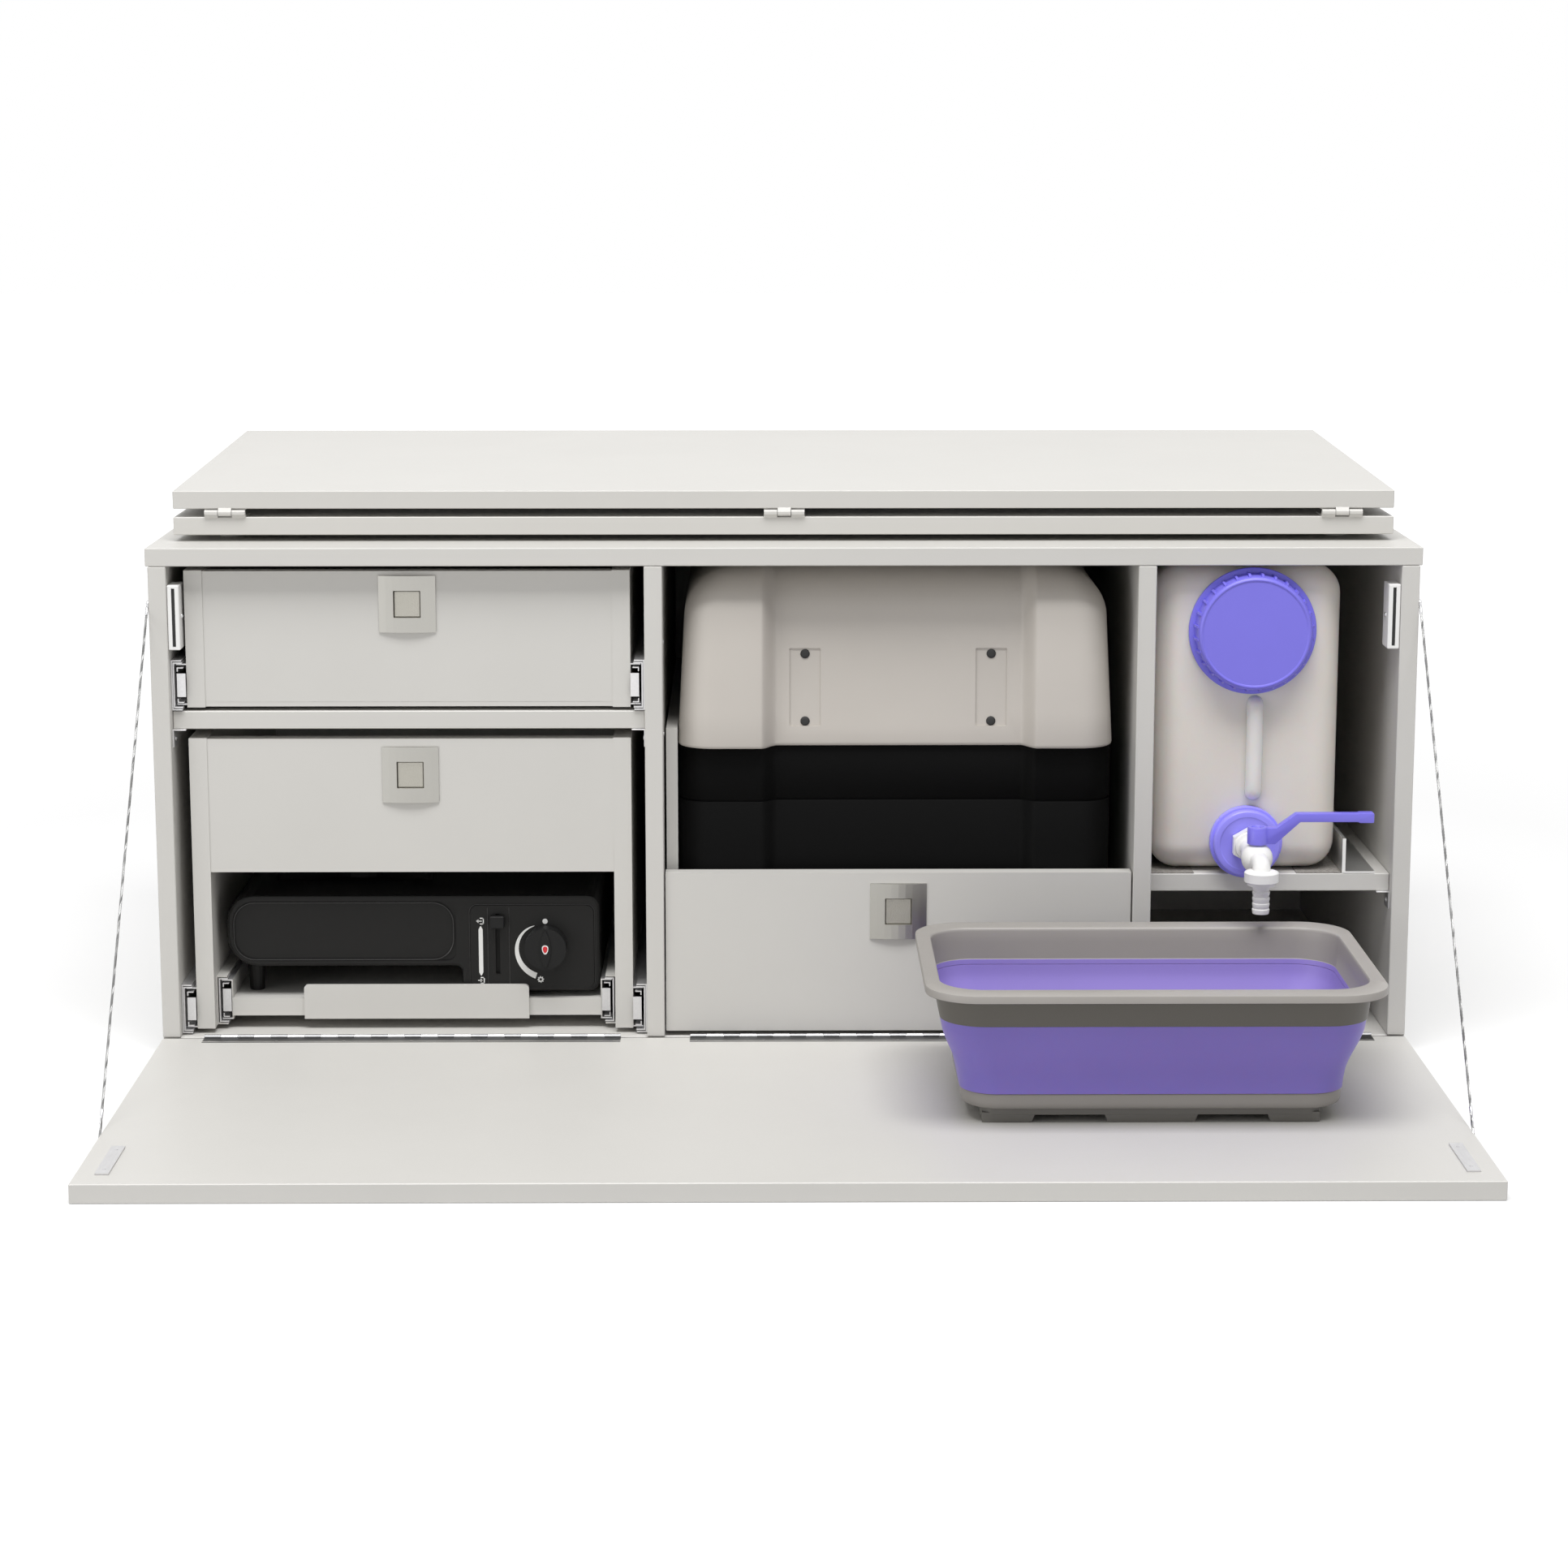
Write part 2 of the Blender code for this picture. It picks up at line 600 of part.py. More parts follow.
def cabinet_boards():
    """The carcass: base, sides, partitions, top, back and the two fixed shelves."""
    upright = (FLOOR + SEAT, CEILING - SEAT)
    depth = (FRONT, INNER_BACK - SEAT)
    board("base_panel", (-SIDE, SIDE), (FRONT + KNUCKLE_R, BACK), (0, FLOOR))
    board("left_side_panel", (-SIDE, -INNER_SIDE), (FRONT, BACK), upright)
    board("right_side_panel", (INNER_SIDE, SIDE), (FRONT, BACK), upright)
    board("left_partition", LEFT_PARTITION, depth, upright)
    partition = board("right_partition", RIGHT_PARTITION, depth, upright)
    notch = 2 * KNUCKLE_R
    cut(partition, box(
        "hinge notch", (RIGHT_PARTITION[0] - OVERRUN, RIGHT_PARTITION[1] + OVERRUN),
        (FRONT - OVERRUN, FRONT + notch), (0, FLOOR + notch),
    ))
    board("back_panel", (-INNER_SIDE + SEAT, INNER_SIDE - SEAT), (INNER_BACK, BACK), upright)
    shelf_depth = (FRONT + SHELF_RECESS, INNER_BACK - SEAT)
    board("drawer_shelf", (-INNER_SIDE + SEAT, LEFT_PARTITION[0] - SEAT), shelf_depth, DRAWER_SHELF)
    shelf = board("water_shelf", (RIGHT_PARTITION[1] + SEAT, INNER_SIDE - SEAT), shelf_depth, WATER_SHELF)
    room, travel = TAP_CHANNEL
    cut(shelf, cylinder(
        "tap channel", "y", (TAP_X, TAP_Z), COLLAR_R + room, FRONT - OVERRUN, CAN_FRONT + travel, 40
    ))


def knuckle_row(name, axis, radius, start, pitch, count, gap, tab):
    """Every second knuckle of a hinge: an eight-sided barrel drawn out to its tab, as an array along X."""
    corners = [(axis[0] + radius * math.cos(a), axis[1] + radius * math.sin(a)) for a in EIGHTHS]
    corners += [(y, z) for y in tab[0] for z in tab[1]]
    hull = [corners[i] for i in convex_hull_2d([Vector(corner) for corner in corners])]
    row = plate(name, hull, "x", start + gap / 2, start + pitch - gap / 2)
    array = row.modifiers.new("every second knuckle", "ARRAY")
    array.count = count
    array.use_relative_offset = False
    array.use_constant_offset = True
    array.constant_offset_displace = row.matrix_world.to_3x3().inverted() @ Vector((2 * pitch, 0, 0))
    return row


def piano_leaf(name, x, on_flap):
    """A leaf of a piano hinge: a strip on the board's edge that reaches up between the other's knuckles."""
    count = int((x[1] - x[0]) / KNUCKLE_PITCH)
    start = (x[0] + x[1] - count * KNUCKLE_PITCH) / 2
    edge = FLAP_REAR + SEAT if on_flap else FRONT + KNUCKLE_R - SEAT
    leaf_y = (edge, edge + LEAF_T) if on_flap else (edge - LEAF_T, edge)
    strip_top = FLAP_AXIS[1] - KNUCKLE_R - SEAT
    leaf = box(name, (start, start + count * KNUCKLE_PITCH), leaf_y, (LEAF_FOOT, strip_top))
    own = count // 2 if on_flap else count - count // 2
    first = start + KNUCKLE_PITCH if on_flap else start
    shy = TAB_SHARE * LEAF_T
    tab = ((leaf_y[0] + shy, leaf_y[1] - shy), (strip_top - BITE, FLAP_AXIS[1]))
    row = knuckle_row(
        name + " knuckles", FLAP_AXIS, KNUCKLE_R, first, KNUCKLE_PITCH, own, KNUCKLE_GAP, tab
    )
    return finish(join(leaf, row), "steel")


def catches_and_strikes():
    for side, sign in (("left", -1), ("right", 1)):
        outer = sign * (INNER_SIDE - SEAT)
        inner = outer - sign * CATCH[0]
        z = (CATCH_Z - CATCH[2] / 2, CATCH_Z + CATCH[2] / 2)
        front = FRONT + STRIKE[2] + 2 * SEAT - AXIS_RISE
        catch = bevel(box(side + "_magnet_catch", (inner, outer), (front, front + CATCH[1]), z), EDGE_R)
        middle = (inner + outer) / 2
        cut(catch, box(
            side + " magnet slot", (middle - CATCH_SLOT[0] / 2, middle + CATCH_SLOT[0] / 2),
            (front - OVERRUN, front + CATCH_SLOT[1]),
            (CATCH_Z - CATCH_SLOT[2] / 2, CATCH_Z + CATCH_SLOT[2] / 2),
        ))
        finish(catch, "white plastic")
        reach = FLAP_AXIS[0] - (CATCH_Z - FLAP_AXIS[1])
        finish(box(
            side + "_strike_plate", (middle - STRIKE[0] / 2, middle + STRIKE[0] / 2),
            (reach - STRIKE[1] / 2, reach + STRIKE[1] / 2), (FLOOR + SEAT, FLOOR + SEAT + STRIKE[2]),
        ), "zinc")


def stay_cable(name, sign):
    """A taut wire rope from the side panel's front edge to the flap's side."""
    curve = bpy.data.curves.new(name, "CURVE")
    curve.dimensions = "3D"
    curve.bevel_depth = CABLE_R
    curve.bevel_resolution = 2
    curve.use_fill_caps = True
    x = sign * (SIDE + CABLE_OFF + CABLE_R)
    spline = curve.splines.new("POLY")
    spline.points.add(1)
    for point, place in zip(spline.points, (CABLE_TOP, CABLE_FOOT)):
        point.co = (x, *place, 1)
    return finish(add(name, curve), "cable")


def flap():
    panel = board("flap_panel", (-SIDE, SIDE), (FLAP_FRONT, FLAP_REAR), (0, FLOOR))
    for side, x in (("left", LEFT_PIANO), ("right", RIGHT_PIANO)):
        piano_leaf(side + "_base_hinge_leaf", x, False)
        piano_leaf(side + "_flap_hinge_leaf", x, True)
    return panel


def butt_leaf(target, index, axis, radius, leaf_y, leaf_z, centre_x, outer):
    """One leaf of a three-knuckle butt hinge, joined to its board: outer leaves carry two knuckles."""
    pitch = BUTT_W / 3
    x = (centre_x - BUTT_W / 2, centre_x + BUTT_W / 2)
    tag = target.name + " hinge " + str(index)
    leaf = box(tag, x, leaf_y, leaf_z)
    near = leaf_y[0] if abs(leaf_y[0] - axis[0]) < abs(leaf_y[1] - axis[0]) else leaf_y[1]
    inward = BITE if leaf_y[0] + leaf_y[1] > 2 * near else -BITE
    shy = TAB_SHARE * BUTT_LEAF[0]
    tab = ((axis[0], near + inward), (leaf_z[0] + shy, leaf_z[1] - shy))
    first = x[0] if outer else x[0] + pitch
    count = 2 if outer else 1
    join(leaf, knuckle_row(tag + " knuckles", axis, radius, first, pitch, count, BUTT_GAP, tab))
    return join(target, leaf)


def swing(obj, matrix):
    """Moves an object together with the helpers that its Booleans use."""
    obj.matrix_world = matrix @ obj.matrix_world
    for modifier in obj.modifiers:
        if modifier.type == "BOOLEAN":
            swing(modifier.object, matrix)


def top_and_bed():
    """Cabinet top and the two bed boards, with their butt hinges."""
    top = board("top_panel", (-SIDE - TOP_LIP, SIDE + TOP_LIP), (FRONT, BACK), (CEILING, TOP))
    lower = board("lower_bed_board", (-BED_HALF_W, BED_HALF_W), (BED_FRONT, BED_REAR), LOWER_BED)
    base = LOWER_BED[1] + UPPER_LIFT
    upper = board("upper_bed_board", (-BED_HALF_W, BED_HALF_W), (BED_FRONT, BED_REAR), (base, base + BOARD))
    thick, long = BUTT_LEAF
    for index, x in enumerate(BED_HINGES_X):
        rear = REAR_AXIS[0] - REAR_BUTT_R - 2 * BUTT_GAP
        butt_leaf(top, index, REAR_AXIS, REAR_BUTT_R, (rear - long, rear), (TOP - BITE, TOP + thick), x, True)
        butt_leaf(
            lower, index, REAR_AXIS, REAR_BUTT_R, (rear - long, rear),
            (LOWER_BED[0] - thick, LOWER_BED[0] + BITE), x, False,
        )
        near = BED_AXIS[0] + BUTT_R + BUTT_GAP
        butt_leaf(
            lower, index + len(BED_HINGES_X), BED_AXIS, BUTT_R, (near, near + long),
            (LOWER_BED[1] - BITE, LOWER_BED[1] + thick), x, True,
        )
        butt_leaf(upper, index, BED_AXIS, BUTT_R, (near, near + long), (base - thick, base + BITE), x, False)
    rear_gap = UPPER_LIFT + (BED_D - BUFFER_INSET) * math.sin(BED_TILT)
    for sign in (-1, 1):
        x = sign * (BED_HALF_W - BUFFER_INSET)
        for y in (BED_FRONT + BUFFER_INSET, BED_REAR - BUFFER_INSET):
            join(lower, cylinder(
                "lower buffer", "z", (x, y), BUFFER_R, TOP + SEAT, LOWER_BED[0] + BITE, 16
            ))
        join(lower, cylinder(
            "upper buffer", "z", (x, BED_REAR - BUFFER_INSET), BUFFER_R, LOWER_BED[1] - BITE,
            LOWER_BED[1] + rear_gap - BITE, 16,
        ))
    pivot = Matrix.Translation((0, *BED_AXIS))
    swing(upper, pivot @ Matrix.Rotation(BED_TILT, 4, "X") @ pivot.inverted())


def channel(name, web_x, lip_x, half, middle_z, y):
    """A channel of folded sheet, its web at web_x and its two flanges reaching to lip_x."""
    inward = math.copysign(SHEET, lip_x - web_x)
    outline = [
        (web_x, middle_z - half), (lip_x, middle_z - half), (lip_x, middle_z - half + SHEET),
        (web_x + inward, middle_z - half + SHEET), (web_x + inward, middle_z + half - SHEET),
        (lip_x, middle_z + half - SHEET), (lip_x, middle_z + half), (web_x, middle_z + half),
    ]
    return plate(name, outline, "y", y[0], y[1])


def slide_outer(name, face, sign, bottom, y, seat=SEAT):
    """The fixed channel against the face; sign is the side of it that the drawer lies on."""
    return channel(name, face + sign * seat, face + sign * OUTER_LIP, SLIDE_H / 2, bottom + SLIDE_H / 2, y)


def slide_middle(name, face, sign, bottom, y):
    half = SLIDE_H / 2 - MIDDLE_STEP
    middle = channel(name, face + sign * MIDDLE_OFF, face + sign * MIDDLE_LIP, half, bottom + SLIDE_H / 2, y)
    return finish(middle, "zinc")


def slide_inner(name, face, sign, bottom, y):
    """The channel on the drawer's own wall, open towards the fixed one."""
    half = SLIDE_H / 2 - MIDDLE_STEP - INNER_STEP
    wall = face + sign * (SLIDE_W + BITE)
    return channel(name, wall, face + sign * INNER_LIP, half, bottom + SLIDE_H / 2, y)


def lock(prefix, centre, face_y):
    """A push lock on a front panel whose face is at face_y: the plate bulges about its upright middle."""
    x, z = centre
    half = LOCK_PLATE / 2
    seat = face_y - SEAT
    steps = [2 * step / LOCK_STEPS - 1 for step in range(LOCK_STEPS + 1)]
    outline = [(x + half, seat), (x - half, seat)]
    outline += [(x + half * step, seat - LOCK_EDGE_T - LOCK_BULGE * (1 - step * step)) for step in steps]
    lock_plate = plate(prefix + "_lock_plate", outline, "z", z - half, z + half)
    hole = LOCK_HOLE / 2
    hole_x, hole_z = (x - hole, x + hole), (z - hole, z + hole)
    cut(lock_plate, box(prefix + " plate hole", hole_x, (face_y - OVERRUN, face_y + OVERRUN), hole_z))
    finish(lock_plate, "nickel")
    key = LOCK_BUTTON / 2
    button = box(
        prefix + "_lock_button", (x - key, x + key), (face_y - LOCK_PROUD, face_y + LOCK_DEPTH),
        (z - key, z + key),
    )
    finish(bevel(button, EDGE_R), "nickel")


def lock_hole(panel, centre, face_y):
    x, z = centre
    hole = LOCK_HOLE / 2
    reach = BOARD + OVERRUN
    hole_x, hole_z = (x - hole, x + hole), (z - hole, z + hole)
    return cut(panel, box(panel.name + " lock hole", hole_x, (face_y - reach, face_y + reach), hole_z))


def drawer_walls(name, x, y, z, face_z):
    """Two full side walls, a front panel set between them and a back panel, joined."""
    left = box(name, (x[0], x[0] + BOARD), y, z)
    right = box(name + " right wall", (x[1] - BOARD, x[1]), y, z)
    across = (x[0] + BOARD - BITE, x[1] - BOARD + BITE)
    face_y = y[0] + FACE_INSET
    face = box(name + " front", across, (face_y, face_y + BOARD), (face_z, z[1] - EDGE_R))
    rear = box(name + " rear", across, (y[1] - BOARD, y[1] - EDGE_R), (z[0] + EDGE_R, z[1] - EDGE_R))
    return join(left, face, rear, right)


def upper_drawer():
    y = (DRAWER_FRONT, DRAWER_FRONT + DRAWER_D)
    z = UPPER_DRAWER_Z
    drawer = drawer_walls("upper_drawer_box", DRAWER_X, y, z, z[0] + DRAWER_FLOOR_T)
    join(drawer, box(
        "upper drawer floor", (DRAWER_X[0] + EDGE_R, DRAWER_X[1] - EDGE_R), (y[0] + BITE, y[1] - 2 * EDGE_R),
        (z[0] + EDGE_R, z[0] + EDGE_R + DRAWER_FLOOR_T),
    ))
    slide_y = (SLIDE_FRONT, SLIDE_FRONT + SLIDE_L)
    for side, face, sign in (("left", -INNER_SIDE, 1), ("right", LEFT_PARTITION[0], -1)):
        rail = slide_outer("upper_" + side + "_rail", face, sign, UPPER_SLIDE_Z, slide_y)
        finish(rail, "zinc")
        slide_middle("upper_" + side + "_slide", face, sign, UPPER_SLIDE_Z, slide_y)
        inner_y = (y[0] + BITE, SLIDE_FRONT + SLIDE_L)
        join(drawer, slide_inner("upper " + side + " inner", face, sign, UPPER_SLIDE_Z, inner_y))
    face_y = y[0] + FACE_INSET
    lock_hole(drawer, UPPER_LOCK, face_y)
    lock("upper", UPPER_LOCK, face_y)
    return finish(drawer, "board")


def cooker_box():
    y = (DRAWER_FRONT, DRAWER_FRONT + DRAWER_D)
    z = COOKER_BOX_Z
    frame = drawer_walls("cooker_box_frame", DRAWER_X, y, z, COOKER_FACE_Z)
    slide_y = (SLIDE_FRONT, SLIDE_FRONT + SLIDE_L)
    for side, face, sign in (("left", -INNER_SIDE, 1), ("right", LEFT_PARTITION[0], -1)):
        finish(slide_outer("cooker_" + side + "_rail", face, sign, LOW_SLIDE_Z, slide_y), "zinc")
        slide_middle("cooker_" + side + "_slide", face, sign, LOW_SLIDE_Z, slide_y)
        inner_y = (y[0] + BITE, SLIDE_FRONT + SLIDE_L)
        join(frame, slide_inner("cooker " + side + " inner", face, sign, LOW_SLIDE_Z, inner_y))
    tray_y = (TRAY_SLIDE_FRONT, TRAY_SLIDE_FRONT + TRAY_SLIDE_L)
    for side, face, sign in (("left", DRAWER_X[0] + BOARD, 1), ("right", DRAWER_X[1] - BOARD, -1)):
        outer = slide_outer("tray " + side + " outer", face, sign, TRAY_SLIDE_Z, tray_y, -BITE / 2)
        join(frame, outer)
        slide_middle("tray_" + side + "_slide", face, sign, TRAY_SLIDE_Z, tray_y)
    face_y = y[0] + FACE_INSET
    lock_hole(frame, COOKER_LOCK, face_y)
    lock("cooker", COOKER_LOCK, face_y)
    return finish(frame, "board")


def cooker_tray():
    """The tray between the box's side walls, with the raised handle at the middle of its front edge."""
    walls = (DRAWER_X[0] + BOARD, DRAWER_X[1] - BOARD)
    x = (walls[0] + SLIDE_W, walls[1] - SLIDE_W)
    tray = box("cooker_tray", x, (TRAY_FRONT, TRAY_FRONT + TRAY_D), (TRAY_BOTTOM, TRAY_TOP))
    for side, face, sign in (("left", walls[0], 1), ("right", walls[1], -1)):
        inner_y = (TRAY_FRONT + BITE, TRAY_FRONT + TRAY_D - BITE)
        join(tray, slide_inner("tray " + side + " inner", face, sign, TRAY_SLIDE_Z, inner_y))
    middle = (x[0] + x[1]) / 2
    width, height, thick = TRAY_LIP
    low = TRAY_BOTTOM - TRAY_LIP_DROP
    ends = (middle - width / 2, middle + width / 2)
    outline = rounded(ends, (low, low + height), TRAY_LIP_R, 4, (False, False, True, True))
    join(tray, plate("tray lip", outline, "y", TRAY_FRONT - thick, TRAY_FRONT + BITE))
    return finish(tray, "board")


def cooker_outline(inset):
    """The cooker from the front, drawn in by inset: a low hob and the deeper control block."""
    low_end, hollow, block_left, block_right, top_right, top_end = COOKER_RADII
    corners = (
        ((COOKER_X[0] + low_end, COOKER_LOW_Z + low_end), low_end - inset, 2, 3),
        ((COOKER_BLOCK_X - hollow, COOKER_LOW_Z - hollow), hollow + inset, 1, 0),
        ((COOKER_BLOCK_X + block_left, COOKER_BLOCK_Z + block_left), block_left - inset, 2, 3),
        ((COOKER_X[1] - block_right, COOKER_BLOCK_Z + block_right), block_right - inset, 3, 4),
        ((COOKER_X[1] - top_right, COOKER_TOP - top_right), top_right - inset, 0, 1),
        ((COOKER_X[0] + top_end, COOKER_TOP - top_end), top_end - inset, 1, 2),
    )
    outline = []
    for (x, z), radius, first, last in corners:
        for step in range(CORNER_STEPS + 1):
            angle = (first + (last - first) * step / CORNER_STEPS) * math.pi / 2
            outline.append((x + radius * math.cos(angle), z + radius * math.sin(angle)))
    return outline


def cooker():
    """Portable cooker: a low hob with a taller control block, its feet, drip bowl, burner and grate."""
    edges = ((0, COOKER_EDGE_R), (COOKER_EDGE_R * EDGE_SHARE, COOKER_EDGE_R * EDGE_SHARE), (COOKER_EDGE_R, 0))
    ends = [(COOKER_FRONT + along, inset) for along, inset in edges]
    ends += [(COOKER_REAR - along, inset) for along, inset in reversed(edges)]
    body = loft("cooker_body", [[(x, y, z) for x, z in cooker_outline(inset)] for y, inset in ends])
    rim_x = (COOKER_X[0] + RIM_BORDER, COOKER_BLOCK_X - RIM_BORDER)
    rim_z = (COOKER_LOW_Z + RIM_BORDER, COOKER_TOP - RIM_BORDER)
    recess = rounded(rim_x, rim_z, FACE_RADII)
    cut(body, plate("face recess", recess, "y", COOKER_FRONT - OVERRUN, COOKER_FRONT + FACE_SINK))
    left, right, under, over = CONTROL_INSETS
    face = COOKER_FRONT - CONTROL_PROUD
    control = rounded(
        (COOKER_BLOCK_X + left, COOKER_X[1] - right), (COOKER_BLOCK_Z + under, COOKER_TOP - over), CONTROL_R
    )
    join(body, plate("control plate", control, "y", face, COOKER_FRONT + BITE))
    inset, width, lift, height, deep = LEVER_SLOT
    slot_x = (COOKER_X[1] - inset - width, COOKER_X[1] - inset)
    slot_z = (TRAY_TOP + lift, TRAY_TOP + lift + height)
    cut(body, box("lever slot", slot_x, (COOKER_FRONT - OVERRUN, face + deep), slot_z))
    hob = ((COOKER_X[0] + COOKER_BLOCK_X) / 2 + COOKER_EDGE_R, (COOKER_FRONT + COOKER_REAR) / 2)
    floor = COOKER_TOP - DRIP_DEPTH
    cut(body, cylinder("drip bowl", "z", hob, DRIP_R, floor, COOKER_TOP + OVERRUN, 32))
    join(body, cylinder("burner", "z", hob, BURNER_R, floor - BITE, floor + BURNER_T, 24, BURNER_R - BITE))
    for turn_count in range(4):
        bar = box(
            "grate bar", (GRATE_IN, GRATE_IN + GRATE_BAR[0]), (-GRATE_BAR[1] / 2, GRATE_BAR[1] / 2),
            (floor - BITE, floor + GRATE_BAR[2]),
        )
        angle = math.pi / 4 + turn_count * math.pi / 2
        bar.matrix_world = Matrix.Translation((*hob, 0)) @ Matrix.Rotation(angle, 4, "Z")
        join(body, bar)
    inset_x, inset_y = COOKER_FOOT_INSETS
    for x in (COOKER_X[0] + inset_x, COOKER_X[1] - inset_x):
        for y in (COOKER_FRONT + inset_y, COOKER_REAR - inset_y):
            join(body, cylinder(
                "cooker foot", "z", (x, y), COOKER_FOOT[1], TRAY_TOP + SEAT, COOKER_LOW_Z + BITE, 16,
                COOKER_FOOT[0],
            ))
    back = face - SEAT
    knob = cylinder("cooker_knob", "y", KNOB, KNOB_R, back - KNOB_T, back, 36)
    lens = [
        (KNOB[0] + side * KNOB_RIDGE * (1 - step * step), KNOB[1] + side * step * (KNOB_R - BITE))
        for side in (-1, 1) for step in LENS_STEPS
    ]
    join(knob, plate("knob grip", lens, "y", back - KNOB_T - KNOB_RIDGE_PROUD, back - KNOB_T + BITE))
    finish(smooth(knob), "black plastic")
    x = (slot_x[0] + slot_x[1]) / 2
    z = slot_z[1] - LEVER_TOP_GAP - LEVER_HEAD[2]
    head = box(
        "cooker_lever", (x - LEVER_HEAD[0] / 2, x + LEVER_HEAD[0] / 2),
        (face - LEVER_HEAD[1], face - LEVER_SIDE_GAP), (z, z + LEVER_HEAD[2]),
    )
    join(bevel(head, EDGE_R), box(
        "lever neck", (x - LEVER_NECK, x + LEVER_NECK),
        (face - LEVER_HEAD[1] / 2, face + deep - LEVER_SIDE_GAP), (z + BITE, z + LEVER_HEAD[2] - BITE),
    ))
    finish(head, "black plastic")
    return finish(body, "dark enamel")


def fridge_pullout():
    """Front panel, base board on two rails and a side cheek that the cool box leans on."""
    bay = (LEFT_PARTITION[1], RIGHT_PARTITION[0])
    inside = FRIDGE_FRONT + BOARD
    drawer = box(
        "fridge_drawer", (bay[0] + FRIDGE_GAP, bay[1] - FRIDGE_GAP), (FRIDGE_FRONT, inside), FRIDGE_FACE_Z
    )
    across = (bay[0] + FRIDGE_GAP + EDGE_R, bay[1] - FRIDGE_GAP - EDGE_R)
    join(drawer, box(
        "cool box board", across, (inside - BITE, FRIDGE_REAR), (FRIDGE_BOARD_Z, FRIDGE_BOARD_Z + BOARD)
    ))
    slide_y = (inside + FACE_INSET, SLIDE_FRONT + SLIDE_L)
    for side, face, sign in (("left", bay[0], 1), ("right", bay[1], -1)):
        wall = face + sign * SLIDE_W
        join(drawer, box(
            side + " fridge rail", (wall, wall + sign * BOARD), (inside - BITE, FRIDGE_REAR - EDGE_R),
            (FRIDGE_FACE_Z[0] + EDGE_R, FRIDGE_BOARD_Z + BITE),
        ))
        finish(slide_outer("fridge_" + side + "_rail", face, sign, LOW_SLIDE_Z, slide_y), "zinc")
        slide_middle("fridge_" + side + "_slide", face, sign, LOW_SLIDE_Z, slide_y)
        inner_y = (inside - BITE, SLIDE_FRONT + SLIDE_L)
        join(drawer, slide_inner("fridge " + side + " inner", face, sign, LOW_SLIDE_Z, inner_y))
    join(drawer, box(
        "cheek", (across[0], COOLER_X[0] - SEAT), (FRONT + CHEEK_RECESS, FRIDGE_REAR - 2 * EDGE_R),
        (FRIDGE_BOARD_Z + BITE, CHEEK_TOP),
    ))
    lock_hole(drawer, FRIDGE_LOCK, FRIDGE_FRONT)
    lock("fridge", FRIDGE_LOCK, FRIDGE_FRONT)
    return finish(drawer, "board")


def cooler_ring(z, front, draw, depth):
    """One level of the cool box: a rounded rectangle whose front is set back between two pads."""
    x = (COOLER_X[0] + draw, COOLER_X[1] - draw)
    y = (front + draw, COOLER_REAR - draw)
    outline = rounded(x, y, COOLER_CORNER_R)
    pads = (COOLER_X[0] + PAD_W[0], COOLER_X[1] - PAD_W[1])
    slope = [step / PAD_STEPS for step in range(PAD_STEPS + 1)]
    falls = [(share, depth * share * share * (3 - 2 * share)) for share in slope]
    dip = [(pads[0] + share * PAD_SLANT, y[0] + fall) for share, fall in falls]
    dip += [(pads[1] - share * PAD_SLANT, y[0] + fall) for share, fall in reversed(falls)]
    own = len(outline) // 4
    return [(u, v, z) for u, v in outline[:own] + dip + outline[own:]]


def cool_box():
    """Body with a seam, and the upper shell, drawn in towards its rounded top, with two shallow pockets."""
    seam = COOLER_FOOT + COOLER_SEAM_H
    high, deep = COOLER_SEAM
    levels = (
        (COOLER_FOOT, SHELL_FOOT_R), (COOLER_FOOT + SHELL_FOOT_R, 0), (seam, 0), (seam, deep),
        (seam + high, deep), (seam + high, 0), (SHELL_Z[0] - SEAT, 0),
    )
    front = FRONT + COOLER_RECESS
    body = loft("cooler_body", [cooler_ring(z, front, draw, PAD_DEPTH[1]) for z, draw in levels])
    finish(body, "cooler dark")
    front = FRONT + SHELL_RECESS
    across, upright = SHELL_ROUND
    shoulder = SHELL_Z[1] - upright
    levels = [(SHELL_Z[0], SHELL_FOOT_R), (SHELL_Z[0] + SHELL_FOOT_R, 0), (shoulder, SHELL_DRAW)]
    for step in range(1, SHELL_ROUND_STEPS + 1):
        angle = step / SHELL_ROUND_STEPS * math.pi / 2
        levels.append((shoulder + upright * math.sin(angle), SHELL_DRAW + across * (1 - math.cos(angle))))
    shell = loft("cooler_shell", [cooler_ring(z, front, draw, PAD_DEPTH[0]) for z, draw in levels])
    wide, tall, sunk = PLUG_PLATE
    foot = SHELL_Z[0] + SHELL_FOOT_R
    lean = math.atan(SHELL_DRAW / (shoulder - foot))
    face = front + PAD_DEPTH[0]
    pivot = Matrix.Translation((0, face, foot))
    middle = SHELL_Z[0] + PLUG_PLATE_H
    for offset in PLUG_PLATES_X:
        x = (COOLER_X[0] + COOLER_X[1]) / 2 + offset
        outline = rounded((x - wide / 2, x + wide / 2), (middle - tall / 2, middle + tall / 2), BITE, 2)
        pocket = plate("cooler pocket", outline, "y", face - OVERRUN, face + sunk)
        pocket.matrix_world = pivot @ Matrix.Rotation(-lean, 4, "X") @ pivot.inverted() @ pocket.matrix_world
        cut(shell, pocket)
    return finish(shell, "cooler grey")


